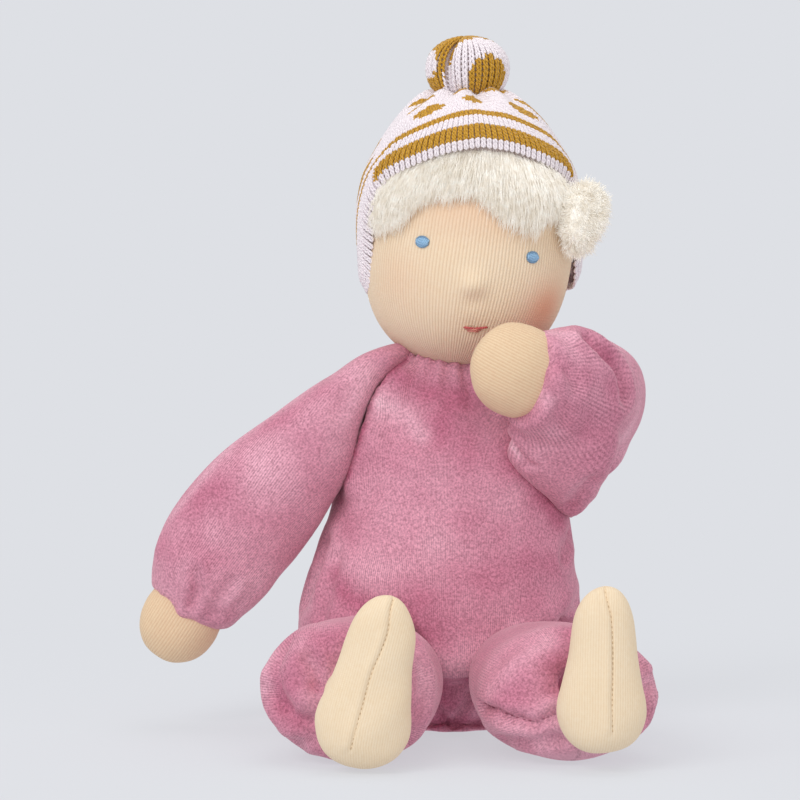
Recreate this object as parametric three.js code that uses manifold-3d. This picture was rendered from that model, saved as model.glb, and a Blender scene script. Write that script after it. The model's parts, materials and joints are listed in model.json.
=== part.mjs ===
// Sitting Waldorf doll in a velour suit and a knitted hat with a bobble.
// Millimetres, +Z up. The doll faces -Y and sits on Z = 0, with the middle of its flat seat at the origin.
// Right and left are the doll's own, so its right hand lies towards -X.

import * as THREE from 'three';
import { mergeVertices } from 'three/addons/utils/BufferGeometryUtils.js';
import Module from 'manifold-3d';

const wasm = await Module();
wasm.setup();

// Cloth, thread and clearances
const velourWall = 1.3;
const jerseyWall = 1.1;
const knitWall = 2;
const threadRadius = 0.9;
const seatGap = 0.3;
const runningGap = 0.7;
const roomGap = 2;
const overrun = 200;

// Torso
const torsoHeight = 131;
const torsoHalfWidth = 51;
const torsoHalfDepth = 39;
const hipLean = 3.5;
const neckHoleRadius = 13.4;

// Head, neck and face
const headRadius = 37;
const headHalfHeight = 43;
const headCentreX = 7.5;
const headCentreY = 0;
const headRise = 42;
const headRollDegrees = 8;
const neckRadius = 9;
const neckLength = 24;
const noseRadius = 5;
const eyeRadius = 2.7;
const mouthHalfWidth = 6;
const embroideryRise = 0.9;

// Hat and hair
const hatRadius = 40.4;
const hatTopRise = 49;
const hatFrontRise = 34;
const hatSideDrop = 21;
const hatRollDegrees = -1;
const hatTieRadius = 6.5;
const hatTieLength = 3;
const bobbleRadius = 14.4;
const hairThickness = 4.2;
const tuftLength = 24;
const tuftRadius = 9;

// Arms
const shoulderHalfSpacing = 31;
const shoulderHeight = 115;
const shoulderRadius = 17;
const upperArmLength = 28;
const forearmLength = 66;
const sleeveHalfWidth = 22.5;
const sleeveHalfDepth = 17.5;
const elbowHalfWidth = 19;
const elbowHalfDepth = 16;
const wristHalfWidth = 12;
const wristHalfDepth = 10;
const handLength = 25;
const handHalfWidth = 14.2;
const handHalfDepth = 9.5;

// Legs and feet
const hipHalfSpacing = 26;
const hipForward = 28;
const hipRadius = 20;
const legLength = 76;
const legHalfWidth = 29;
const legHalfHeight = 25.3;
const legFloorFlat = 0.5;
const thighSwell = 4;
const ankleRadius = 10;
const footLength = 57;
const footHalfWidth = 16;
const footHalfDepth = 10.5;
const ankleLength = 2.6;

// Points round each form, from the largest to the smallest
const torsoCount = 18;
const headCount = 16;
const hatCount = 18;
const legCount = 12;
const armCount = 12;
const tuftCount = 12;
const bobbleCount = 12;
const footCount = 10;
const handCount = 10;
const fringeCount = 10;
const stalkCount = 12;
const beadCount = 10;

// Ranges of the joints, degrees, and of the hat's lift, millimetres
const nodRange = [0, 15];
const turnRange = [-30, 30];
const liftRange = [0, 60];
const rightShoulderRange = [0, 70];
const leftShoulderRange = [0, 20];
const rightElbowRange = [0, 60];
const leftElbowRange = [0, 80];
const rightWristRange = [-15, 15];
const leftWristRange = [0, 20];
const hipRange = [-80, 0];
const ankleRange = [-15, 12];

// Colours
const rose = new THREE.MeshStandardMaterial({ color: 0xb9647f, roughness: 0.9, metalness: 0 });
const skin = new THREE.MeshStandardMaterial({ color: 0xe2bf95, roughness: 0.85, metalness: 0 });
const cream = new THREE.MeshStandardMaterial({ color: 0xe8d3aa, roughness: 0.85, metalness: 0 });
const wool = new THREE.MeshStandardMaterial({ color: 0xede6d8, roughness: 1, metalness: 0 });
const mohair = new THREE.MeshStandardMaterial({ color: 0xf1ebe0, roughness: 1, metalness: 0 });
const mustardKnit = new THREE.MeshStandardMaterial({ color: 0xc9992e, roughness: 0.9, metalness: 0 });
const blueThread = new THREE.MeshStandardMaterial({ color: 0x5f9bc8, roughness: 0.6, metalness: 0 });
const redThread = new THREE.MeshStandardMaterial({ color: 0xc9706a, roughness: 0.6, metalness: 0 });
const roseThread = new THREE.MeshStandardMaterial({ color: 0xa9536c, roughness: 0.7, metalness: 0 });
const whiteThread = new THREE.MeshStandardMaterial({ color: 0xf0ece2, roughness: 0.7, metalness: 0 });

// Directions
const up = new THREE.Vector3(0, 0, 1);
const ahead = new THREE.Vector3(0, -1, 0);
const sideways = new THREE.Vector3(1, 0, 0);
const down = up.clone().negate();
const tiltBack = sideways.clone().negate();

function radians(degrees) {
  return THREE.MathUtils.degToRad(degrees);
}

// Heading from a compass turn (0 is +X, 90 is +Y) and a rise above the level
function heading(turnDegrees, riseDegrees) {
  const level = Math.cos(radians(riseDegrees));
  return new THREE.Vector3(
    level * Math.cos(radians(turnDegrees)),
    level * Math.sin(radians(turnDegrees)),
    Math.sin(radians(riseDegrees)),
  );
}

function stepFrom(place, direction, distance) {
  return place.clone().addScaledVector(direction, distance);
}

// The value that a table of pairs has at a key, on the straight line between its neighbours
function between(table, key) {
  const found = table.findIndex(([start]) => start >= key);
  const k = found < 0 ? table.length - 1 : Math.max(1, found);
  const [from, first] = table[k - 1];
  const [to, second] = table[k];
  return first + ((second - first) * (key - from)) / (to - from);
}

// Forms: rings of points round a centre line, with a single point at each end

function ring(centre, side, facing, wide, deep, count) {
  return Array.from({ length: count }, (_, k) => {
    const turn = (2 * Math.PI * k) / count;
    return stepFrom(stepFrom(centre, side, wide * Math.cos(turn)), facing, deep * Math.sin(turn));
  });
}

// Each station has its place and its half width and half depth; `across` is the way of the half width.
// The rings lie square to the centre line, or to one given direction.
function stuffedForm(stations, across, count, direction = null) {
  return stations.map((station, k) => {
    if (station.wide === 0) return [station.at.clone()];
    const before = stations[Math.max(k - 1, 0)].at;
    const after = stations[Math.min(k + 1, stations.length - 1)].at;
    const along = direction ? direction.clone() : after.clone().sub(before).normalize();
    const side = across.clone().addScaledVector(along, -across.dot(along)).normalize();
    const facing = along.clone().cross(side);
    return ring(station.at, side, facing, station.wide, station.deep, count);
  });
}

// The triangles between two neighbouring rings, either of which may be a single point
function bandFaces(lower, upper, lowerStart, upperStart) {
  const count = Math.max(lower.length, upper.length);
  const faces = [];
  for (let k = 0; k < count; k += 1) {
    const next = (k + 1) % count;
    const a = lowerStart + (lower.length > 1 ? k : 0);
    const b = lowerStart + (lower.length > 1 ? next : 0);
    const c = upperStart + (upper.length > 1 ? next : 0);
    const d = upperStart + (upper.length > 1 ? k : 0);
    if (a !== b) faces.push(a, b, c);
    if (c !== d) faces.push(a, c, d);
  }
  return faces;
}

function geometryOfForm(rings) {
  const points = rings.flat();
  const starts = rings.map((_, k) => rings.slice(0, k).reduce((sum, each) => sum + each.length, 0));
  const faces = rings.slice(1).flatMap((upper, k) => bandFaces(rings[k], upper, starts[k], starts[k + 1]));
  const geometry = new THREE.BufferGeometry().setFromPoints(points);
  geometry.setIndex(faces);
  return geometry;
}

// The same form with its surface moved outwards by a distance, inwards where that is negative
function grown(rings, distance) {
  const geometry = geometryOfForm(rings);
  geometry.computeVertexNormals();
  const normals = geometry.getAttribute('normal');
  const normal = new THREE.Vector3();
  let k = -1;
  return rings.map((each) => each.map((point) => {
    k += 1;
    return stepFrom(point, normal.fromBufferAttribute(normals, k), distance);
  }));
}

// Every second point of every second ring, for surfaces that never show
function thinned(rings) {
  const last = rings.length - 1;
  const kept = rings.filter((each, k) => k <= 1 || k >= last - 1 || k % 2 === 1);
  return kept.map((each) => (each.length > 1 ? each.filter((_, k) => k % 2 === 0) : each));
}

// Solids

function solidOf(geometry) {
  const bare = geometry.clone();
  bare.deleteAttribute('normal');
  bare.deleteAttribute('uv');
  const merged = mergeVertices(bare);
  return new wasm.Manifold(new wasm.Mesh({
    numProp: 3,
    vertProperties: new Float32Array(merged.getAttribute('position').array),
    triVerts: new Uint32Array(merged.getIndex().array),
  }));
}

function solidForm(rings) {
  return solidOf(geometryOfForm(rings));
}

function ball(centre, radius, across = 16, rings = across / 2 + 2) {
  return solidOf(new THREE.SphereGeometry(radius, across, rings).translate(centre.x, centre.y, centre.z));
}

// A round socket: a faceted ball whose flats, too, lie a running gap outside the radius
function socket(centre, radius, across = 14) {
  const flats = Math.cos(Math.PI / across);
  return ball(centre, (radius + runningGap) / flats, across, across / 2 + 1);
}

// A round bar from a place along a direction
function bar(start, direction, length, radius, sides = 16) {
  const geometry = new THREE.CylinderGeometry(radius, radius, length, sides);
  const upright = new THREE.Vector3(0, 1, 0);
  geometry.applyQuaternion(new THREE.Quaternion().setFromUnitVectors(upright, direction));
  const middle = stepFrom(start, direction, length / 2);
  return solidOf(geometry.translate(middle.x, middle.y, middle.z));
}

// A thread tied round in an oval: `across` is the way of the half width, `along` is square to the oval
function threadRing(centre, across, along, halfWidth, halfDepth, steps = 14, radius = threadRadius) {
  const geometry = new THREE.TorusGeometry(halfWidth, radius, 5, steps).scale(1, halfDepth / halfWidth, 1);
  const side = across.clone().addScaledVector(along, -across.dot(along)).normalize();
  const basis = new THREE.Matrix4().makeBasis(side, along.clone().cross(side), along);
  return solidOf(geometry.applyMatrix4(basis.setPosition(centre)));
}

function fused(solids) {
  return solids.reduce((sum, each) => sum.add(each));
}

function without(solid, cutters) {
  return cutters.reduce((rest, each) => rest.subtract(each), solid);
}

// The largest single body of a solid, without the crumbs that a cut can leave
function largestBody(solid) {
  const bodies = solid.decompose();
  return bodies.reduce((best, each) => (each.volume() > best.volume() ? each : best));
}

function turned(solid, pivot, axis, degrees) {
  const matrix = new THREE.Matrix4().makeTranslation(pivot.x, pivot.y, pivot.z);
  matrix.multiply(new THREE.Matrix4().makeRotationAxis(axis, radians(degrees)));
  matrix.multiply(new THREE.Matrix4().makeTranslation(-pivot.x, -pivot.y, -pivot.z));
  return solid.transform(matrix.elements);
}

// What a solid passes through while it turns over a range, in equal steps
function sweptBy(solid, pivot, axis, range, steps) {
  const turns = Array.from({ length: steps + 1 }, (_, k) => range[0] + ((range[1] - range[0]) * k) / steps);
  return fused(turns.map((degrees) => turned(solid, pivot, axis, degrees)));
}

const belowFloor = solidOf(
  new THREE.BoxGeometry(overrun * 2, overrun * 2, overrun).translate(0, 0, -overrun / 2),
);

const pieces = [];

function addPiece(name, solid, material) {
  const body = largestBody(solid);
  const mesh = body.getMesh();
  const geometry = new THREE.BufferGeometry();
  geometry.setAttribute('position', new THREE.BufferAttribute(new Float32Array(mesh.vertProperties), 3));
  geometry.setIndex(new THREE.BufferAttribute(new Uint32Array(mesh.triVerts), 1));
  const piece = new THREE.Mesh(geometry, material);
  piece.name = name;
  pieces.push(piece);
  return body;
}

// A sewn cover and the filling inside it, both from one form
function coverAndFilling(rings, wall) {
  const inside = thinned(rings);
  return {
    outer: solidForm(rings),
    cavity: solidForm(grown(inside, -wall)),
    filling: solidForm(grown(inside, -wall - seatGap)),
    reach: solidForm(grown(rings, seatGap)),
    clear: solidForm(grown(rings, runningGap)),
    room: solidForm(grown(inside, roomGap)),
  };
}

// Stations of a rounded end that lies behind a pivot, from its tip to just before the pivot
const endDegrees = [90, 60, 30];

function roundedEnd(pivot, direction, length, wide, deep) {
  return endDegrees.map((degrees) => ({
    at: stepFrom(pivot, direction, -length * Math.sin(radians(degrees))),
    wide: degrees === 90 ? 0 : wide * Math.cos(radians(degrees)),
    deep: deep * Math.cos(radians(degrees)),
  }));
}

// Stations along a limb from shares of its length, half width and half depth
function limbStations(start, direction, length, wide, deep, shares) {
  return shares.map(([along, wideShare, deepShare]) => ({
    at: stepFrom(start, direction, length * along),
    wide: wide * wideShare,
    deep: deep * deepShare,
  }));
}

// Torso: height, half width, half depth and sideways lean, as shares of the torso's own sizes
const torsoShares = [
  [0, 0, 0, 0], [0, 0.74, 0.72, 0], [0.03, 0.87, 0.87, -0.4], [0.12, 0.97, 0.98, -0.8],
  [0.27, 1, 1, -1], [0.42, 0.94, 0.96, -0.7], [0.57, 0.845, 0.87, -0.2], [0.7, 0.76, 0.76, 0],
  [0.81, 0.68, 0.65, 0], [0.9, 0.58, 0.54, 0.1], [0.96, 0.44, 0.46, 0.2], [1, 0.32, 0.38, 0.3],
  [1, 0, 0, 0.3],
];
const torsoForm = stuffedForm(
  torsoShares.map(([rise, wide, deep, lean]) => ({
    at: new THREE.Vector3(hipLean * lean, 0, torsoHeight * rise),
    wide: torsoHalfWidth * wide,
    deep: torsoHalfDepth * deep,
  })),
  sideways,
  torsoCount,
  up,
);
const torso = coverAndFilling(torsoForm, velourWall);

// Head: rise from its middle and radius, as shares of its half height and radius
const headShares = [
  [-1, 0], [-0.96, 0.31], [-0.84, 0.6], [-0.62, 0.84], [-0.33, 0.97], [0, 1],
  [0.33, 0.95], [0.62, 0.79], [0.84, 0.53], [0.96, 0.26], [1, 0],
];
const headAxis = heading(0, 90 - headRollDegrees);
const headAcross = heading(0, -headRollDegrees);
const headCentre = new THREE.Vector3(headCentreX, headCentreY, torsoHeight + headRise);
const neckPivot = stepFrom(headCentre, headAxis, -headHalfHeight - neckLength / 4);
const headForm = stuffedForm(
  headShares.map(([rise, radiusShare]) => ({
    at: stepFrom(headCentre, headAxis, headHalfHeight * rise),
    wide: headRadius * radiusShare,
    deep: headRadius * radiusShare,
  })),
  headAcross,
  headCount,
);
const head = coverAndFilling(headForm, jerseyWall);
const headCavity = solidForm(grown(headForm, -jerseyWall));
const headCore = solidForm(grown(headForm, -jerseyWall - seatGap));

// A place on the face from a turn towards the doll's left and a rise, shares of the half height
function facePlace(turnDegrees, riseShare, outShare = 1) {
  const level = between(headShares, riseShare) * headRadius * outShare;
  const place = stepFrom(headCentre, headAxis, headHalfHeight * riseShare);
  return stepFrom(
    stepFrom(place, headAcross, level * Math.sin(radians(turnDegrees))),
    ahead,
    level * Math.cos(radians(turnDegrees)),
  );
}

// Neck stalk: a ball in the torso's filling and a post up into the head's core
const neckFoot = stepFrom(neckPivot, headAxis, -neckLength / 4);
const neckBallShare = 1.15;
const neckBallRadius = neckRadius * neckBallShare;
const neckPost = bar(neckFoot, headAxis, neckLength, neckRadius, stalkCount);
const neckStalk = ball(neckFoot, neckBallRadius, stalkCount).add(neckPost);
const neckBore = bar(neckFoot, headAxis, neckLength + runningGap, neckRadius + runningGap);
const neckSocket = fused([
  socket(neckFoot, neckBallRadius),
  sweptBy(bar(neckFoot, headAxis, overrun, neckRadius + runningGap), neckFoot, tiltBack, nodRange, 2),
]);
const neckThreadRadius = neckRadius + threadRadius + seatGap;
const neckThread = threadRing(neckPivot, headAcross, headAxis, neckThreadRadius, neckThreadRadius);
const eyeThreadRadius = headRadius - jerseyWall - seatGap - threadRadius;
const eyeThread = threadRing(headCentre, headAcross, headAxis, eyeThreadRadius, eyeThreadRadius, headCount);
const eyeGroove = threadRing(
  headCentre, headAcross, headAxis, eyeThreadRadius, eyeThreadRadius, headCount, threadRadius + seatGap,
);

// Arms: stations as shares of the length from one joint to the next, half width and half depth
const upperArmShares = [[0, 1, 1], [0.5, 1.06, 0.97], [1, 1.118, 0.94], [1.35, 1.12, 0.9], [1.35, 0, 0]];
const forearmShares = [
  [0, 0.85, 0.915], [0.2, 0.92, 0.96], [0.42, 0.98, 1], [0.64, 1, 1], [0.82, 0.93, 0.93],
  [0.94, 0.74, 0.75], [1, 0.53, 0.57], [1, 0, 0],
];
const handShares = [
  [0, 0.78, 0.9], [0.2, 0.9, 1], [0.45, 1, 1.02], [0.68, 0.95, 0.92], [0.86, 0.74, 0.7],
  [0.96, 0.42, 0.4], [1, 0, 0],
];

const rightShoulder = new THREE.Vector3(-shoulderHalfSpacing, 0, shoulderHeight);
const leftShoulder = new THREE.Vector3(shoulderHalfSpacing, 0, shoulderHeight);

// Compass turn and rise of each part of the arms and of the line across it, degrees
const rightArmTurns = { upper: [186, -37], forearm: [189, -53], hand: [196, -57], across: [180, 37] };
const leftArmTurns = { upper: [36, -10], hand: [200, 22], across: [20, 66], elbow: [84, 78] };

// The left hand rests at the corner of the mouth: the wrist's place from the middle of the head
const leftWristShares = [0.61, -1.16, -1.27];
const mouthSide = headCentre.clone().add(new THREE.Vector3(...leftWristShares).multiplyScalar(headRadius));

function armPath(shoulder, upperHeading, forearmHeading, handHeading, across) {
  const elbow = stepFrom(shoulder, upperHeading, upperArmLength);
  const wrist = stepFrom(elbow, forearmHeading, forearmLength);
  return { shoulder, elbow, wrist, upperHeading, forearmHeading, handHeading, across };
}

const rightArm = armPath(
  rightShoulder,
  heading(...rightArmTurns.upper),
  heading(...rightArmTurns.forearm),
  heading(...rightArmTurns.hand),
  heading(...rightArmTurns.across),
);
const leftUpperHeading = heading(...leftArmTurns.upper);
const leftElbow = stepFrom(leftShoulder, leftUpperHeading, upperArmLength);
const leftForearmHeading = mouthSide.clone().sub(leftElbow).normalize();
const leftArm = armPath(
  leftShoulder,
  leftUpperHeading,
  leftForearmHeading,
  heading(...leftArmTurns.hand),
  heading(...leftArmTurns.across),
);

// The line that a sleeve bends about lies along its width
function bendAxis(arm) {
  const { across, forearmHeading } = arm;
  return across.clone().addScaledVector(forearmHeading, -across.dot(forearmHeading)).normalize();
}

function armForms(arm) {
  const { shoulder, elbow, wrist, upperHeading, forearmHeading, handHeading, across } = arm;
  const upper = [
    ...roundedEnd(shoulder, upperHeading, shoulderRadius, shoulderRadius, shoulderRadius),
    ...limbStations(shoulder, upperHeading, upperArmLength, shoulderRadius, shoulderRadius, upperArmShares),
  ];
  const fore = [
    ...roundedEnd(elbow, forearmHeading, elbowHalfDepth, elbowHalfWidth, elbowHalfDepth),
    ...limbStations(elbow, forearmHeading, forearmLength, sleeveHalfWidth, sleeveHalfDepth, forearmShares),
  ];
  const wristInside = wristHalfDepth - velourWall;
  const hand = [
    ...roundedEnd(wrist, handHeading, wristHalfDepth, wristHalfWidth - velourWall, wristInside),
    ...limbStations(wrist, handHeading, handLength, handHalfWidth, handHalfDepth, handShares),
  ];
  return {
    upper: coverAndFilling(stuffedForm(upper, across, armCount), velourWall),
    fore: coverAndFilling(stuffedForm(fore, across, armCount), velourWall),
    hand: coverAndFilling(stuffedForm(hand, across, handCount), jerseyWall),
  };
}

// Legs and feet
const legShares = [
  [0, 0.69, 0.79], [0.2, 0.81, 0.89], [0.42, 0.94, 0.97], [0.66, 1, 1], [0.83, 0.9, 0.92],
  [0.94, 0.64, 0.68], [1, 0.38, 0.42], [1, 0, 0],
];
const footShares = [
  [0, 0, 0], [0.02, 0.48, 0.48], [0.09, 0.83, 0.83], [0.22, 1, 0.99], [0.38, 0.9, 0.92],
  [0.6, 0.68, 0.76], [0.8, 0.58, 0.67], [0.94, 0.43, 0.48], [1, 0, 0],
];
const heelShare = 0.3;
const ankleBallRadius = ankleRadius - velourWall;
const ankleThreadRadius = ankleBallRadius + seatGap + threadRadius;
const legHeight = legHalfHeight - legFloorFlat;

function legPath(sign, splayDegrees, footLeanDegrees, footShift, footRise) {
  const hip = new THREE.Vector3(sign * hipHalfSpacing, -hipForward, legHeight);
  const direction = heading(-90 + sign * splayDegrees, 0);
  const ankle = stepFrom(hip, direction, legLength);
  const footUp = heading(0, 90 - footLeanDegrees);
  const heel = stepFrom(stepFrom(ankle, direction, footHalfDepth + ankleLength), sideways, footShift);
  heel.addScaledVector(up, footRise);
  return { hip, direction, ankle, footUp, heel };
}

const rightLegSplay = 6.5;
const rightFootLean = 13;
const rightFootShift = 4;
const rightFootDrop = 4;
const leftLegSplay = 14;
const leftFootLean = 1;
const leftFootDrop = 1.5;
const rightLeg = legPath(-1, rightLegSplay, rightFootLean, rightFootShift, -rightFootDrop);
const leftLeg = legPath(1, leftLegSplay, leftFootLean, 0, -leftFootDrop);

function legForms(leg) {
  const { hip, direction, ankle, footUp, heel } = leg;
  const thigh = [
    ...roundedEnd(hip, direction, hipRadius, hipRadius, hipRadius),
    ...limbStations(hip, direction, legLength, legHalfWidth, legHalfHeight, legShares),
  ];
  const footStart = stepFrom(heel, footUp, -footLength * heelShare);
  const foot = limbStations(footStart, footUp, footLength, footHalfWidth, footHalfDepth, footShares);
  const stub = bar(ankle, direction, footHalfDepth + ankleLength, ankleBallRadius - seatGap, footCount);
  return {
    leg: coverAndFilling(stuffedForm(thigh, sideways, legCount), velourWall),
    foot: coverAndFilling(stuffedForm(foot, sideways, footCount), jerseyWall),
    joint: [ball(ankle, ankleBallRadius, stalkCount), stub],
  };
}

// Hat: shares of the height from the head's middle to the tie, and of the hat's radius
const hatProfileShares = [
  [-1, 1], [0.24, 1], [0.38, 0.98], [0.5, 0.94], [0.6, 0.885], [0.68, 0.82], [0.77, 0.76],
  [0.86, 0.7], [0.93, 0.6], [0.98, 0.4], [1, 0.17],
];
const hatRingShares = [0, 0.2, 0.42, 0.6, 0.75, 0.86, 0.94, 1];
const hatAxis = heading(0, 90 - hatRollDegrees);
const hatAcross = heading(0, -hatRollDegrees);

// The edge of the hat is high over the forehead and low from the cheeks round to the nape.
const edgeTurns = [30, 85];

function edgeRise(turnDegrees) {
  const past = THREE.MathUtils.smoothstep(Math.abs(turnDegrees), edgeTurns[0], edgeTurns[1]);
  return hatFrontRise - (hatFrontRise + hatSideDrop) * past;
}

function hatPlace(turnDegrees, rise, radius) {
  const place = stepFrom(headCentre, hatAxis, rise);
  return stepFrom(
    stepFrom(place, hatAcross, radius * Math.sin(radians(turnDegrees))),
    ahead,
    radius * Math.cos(radians(turnDegrees)),
  );
}

const hatTurns = Array.from({ length: hatCount }, (_, k) => -180 + (360 * k) / hatCount);

// One ring of the hat's wall, at a share of the way from its edge to the tie
function hatRing(share, inset, drop = 0) {
  return hatTurns.map((turn) => {
    const edge = edgeRise(turn) - drop;
    const rise = edge + (hatTopRise - edge) * share;
    const radius = hatRadius * between(hatProfileShares, rise / hatTopRise);
    return hatPlace(turn, rise - inset * share, Math.max(radius - inset, knitWall / 2));
  });
}

function hatRings() {
  const inner = hatRingShares.map((share) => hatRing(share, knitWall)).reverse();
  const outer = hatRingShares.map((share) => hatRing(share, 0));
  const tie = hatTurns.map((turn) => hatPlace(turn, hatTopRise + hatTieLength, hatTieRadius));
  return [
    [stepFrom(headCentre, hatAxis, hatTopRise - knitWall)], ...inner, ...outer, tie,
    [stepFrom(headCentre, hatAxis, hatTopRise + hatTieLength)],
  ];
}

const hatSolid = solidForm(hatRings());

// What the hat's wall passes through as it lifts off, from its edge and its inside straight up
function hatWayRings() {
  const inset = knitWall + runningGap + seatGap;
  const inner = hatRingShares.map((share) => hatRing(share, inset, roomGap)).reverse();
  const outerRadius = hatRadius + runningGap;
  const edge = hatTurns.map((turn) => hatPlace(turn, edgeRise(turn) - roomGap, outerRadius));
  const top = hatTurns.map((turn) => hatPlace(turn, hatTopRise, outerRadius));
  return [
    [stepFrom(headCentre, hatAxis, hatTopRise - knitWall - runningGap)], ...inner, edge, top,
    [stepFrom(headCentre, hatAxis, hatTopRise)],
  ];
}

const hatWay = solidForm(hatWayRings());

// Bobble: distance above the tie and radius, as shares of the bobble's radius
const bobbleShares = [
  [0, 0], [0, 0.42], [0.13, 0.66], [0.36, 0.9], [0.7, 1], [1.05, 0.95], [1.33, 0.74], [1.52, 0.42],
  [1.58, 0],
];
const bobbleFoot = stepFrom(headCentre, hatAxis, hatTopRise + hatTieLength + seatGap);
const bobble = coverAndFilling(
  stuffedForm(
    bobbleShares.map(([rise, radiusShare]) => ({
      at: stepFrom(bobbleFoot, hatAxis, bobbleRadius * rise),
      wide: bobbleRadius * radiusShare,
      deep: bobbleRadius * radiusShare,
    })),
    hatAcross,
    bobbleCount,
  ),
  knitWall / 2,
);

// Face
const faceTurn = 4;
const eyeTurn = 32;
const eyeShare = -0.03;
const noseShare = -0.316;
const mouthShare = -0.665;
const mouthTurn = 9;
const eyeHeightShare = 0.85;
const mouthHeightShare = 0.3;
const noseRiseShare = 0.52;
const noseBeadShare = 0.6;

// A low round or oval patch on a surface, flattened along the way out
function patch(place, outward, halfWidth, halfHeight, rise) {
  const side = up.clone().cross(outward).normalize();
  const above = outward.clone().cross(side);
  const geometry = new THREE.SphereGeometry(1, 12, 6).scale(halfWidth, halfHeight, rise);
  geometry.applyMatrix4(new THREE.Matrix4().makeBasis(side, above, outward).setPosition(place));
  return solidOf(geometry);
}

function outwardAt(place) {
  const from = place.clone().sub(headCentre);
  const flattening = (headRadius / headHalfHeight) ** 2 - 1;
  return from.addScaledVector(headAxis, from.dot(headAxis) * flattening).normalize();
}

const nosePlace = facePlace(faceTurn, noseShare);
const noseBeadRadius = noseRadius * noseBeadShare;
const noseBeadPlace = stepFrom(nosePlace, outwardAt(nosePlace), -noseBeadRadius / 2);
const noseRise = noseRadius * noseRiseShare;
const noseBump = patch(nosePlace, outwardAt(nosePlace), noseRadius, noseRadius, noseRise);
const noseRoom = ball(noseBeadPlace, noseBeadRadius + seatGap, beadCount);

// Hair: turn, lower edge and tuck under the hat, as shares of the head's half height
const fringeShares = [
  [-64, 0.12], [-54, 0.15], [-42, 0.2], [-30, 0.3], [-18, 0.39], [-5, 0.41], [8, 0.36], [20, 0.22],
  [32, 0.15], [42, 0.2], [50, 0.26],
];
const hairTuckShare = 0.1;
const hairTopShare = 0.9;

function fringeRing(turnDegrees, lowShare) {
  const brim = Math.max(edgeRise(turnDegrees) / headHalfHeight, lowShare);
  const low = facePlace(turnDegrees, lowShare);
  const high = facePlace(turnDegrees, Math.min(brim + hairTuckShare, hairTopShare));
  const middle = low.clone().lerp(high, 0.5);
  const meridian = high.clone().sub(low);
  const halfTall = meridian.length() / 2;
  meridian.normalize();
  const outward = outwardAt(middle);
  outward.addScaledVector(meridian, -outward.dot(meridian)).normalize();
  return ring(middle, meridian, outward, halfTall, hairThickness * 2, fringeCount);
}

const fringeForm = fringeShares.map(([turn, lowShare], k) => {
  const oneRing = fringeRing(turn, lowShare);
  const atEnd = k === 0 || k === fringeShares.length - 1;
  return atEnd ? [oneRing[0].clone().lerp(oneRing[fringeCount / 2], 0.5)] : oneRing;
});
const tuftShares = [[0, 0], [0.08, 0.5], [0.26, 0.9], [0.5, 1], [0.74, 0.8], [0.92, 0.45], [1, 0]];
const tuftTurn = 66;
const tuftRiseShare = 0.42;
const tuftOutShare = 1.12;
const tuftFallDegrees = -84;
const tuftTop = facePlace(tuftTurn, tuftRiseShare, tuftOutShare);
const tuftForm = stuffedForm(
  tuftShares.map(([along, radiusShare]) => ({
    at: stepFrom(tuftTop, heading(0, tuftFallDegrees), tuftLength * along),
    wide: tuftRadius * radiusShare,
    deep: tuftRadius * radiusShare,
  })),
  sideways,
  tuftCount,
);

// Assembly. Each smaller piece is cut by what it lies against, and each socket by what turns in it.

const legs = { right: rightLeg, left: leftLeg };
const arms = { right: rightArm, left: leftArm };
const sides = ['right', 'left'];
const shoulderAxes = { right: ahead.clone().negate(), left: up };
const shoulderRanges = { right: rightShoulderRange, left: leftShoulderRange };
const elbowAxes = { right: bendAxis(rightArm), left: heading(...leftArmTurns.elbow) };
const elbowRanges = { right: rightElbowRange, left: leftElbowRange };
const wristRanges = { right: rightWristRange, left: leftWristRange };

const faceRoom = solidForm(grown(headForm, embroideryRise + runningGap));
const nodRoom = sweptBy(faceRoom, neckFoot, tiltBack, nodRange, 3);
const torsoCutters = [
  bar(neckFoot, up, overrun, neckHoleRadius),
  sweptBy(head.room, neckFoot, tiltBack, nodRange, 2),
];

for (const side of sides) {
  const leg = legs[side];
  const forms = legForms(leg);
  const hipSocket = socket(leg.hip, hipRadius);
  const torsoBeside = torso.clear.subtract(ball(leg.hip, hipRadius));
  const ankleSocket = socket(leg.ankle, ankleThreadRadius + threadRadius);
  const footRoom = sweptBy(forms.foot.room, leg.ankle, tiltBack, ankleRange, 2).add(ankleSocket);
  const legCutters = [torsoBeside, belowFloor, footRoom];
  torsoCutters.push(hipSocket);
  torsoCutters.push(bar(leg.hip, down, overrun, hipRadius + thighSwell));
  const legHole = bar(leg.hip, leg.direction.clone().negate(), overrun, ankleRadius);
  const legSkin = without(forms.leg.outer, [forms.leg.cavity, legHole, ...legCutters]);
  addPiece(`${side}_leg_cover`, legSkin, rose);
  addPiece(`${side}_leg_filling`, without(forms.leg.filling, legCutters), wool);
  const footHoleStart = stepFrom(leg.ankle, leg.direction, -ankleRadius);
  const footHoleLength = ankleRadius + ankleLength + footHalfDepth;
  const footHole = bar(footHoleStart, leg.direction, footHoleLength, ankleRadius / 2, footCount);
  const footSkin = without(fused([forms.foot.outer, ...forms.joint]), [forms.foot.cavity, footHole]);
  addPiece(`${side}_foot_cover`, footSkin, cream);
  addPiece(`${side}_foot_filling`, forms.foot.filling, wool);
  addPiece(
    `${side}_ankle_thread`,
    threadRing(leg.ankle, sideways, leg.direction, ankleThreadRadius, ankleThreadRadius),
    roseThread,
  );
}

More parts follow.
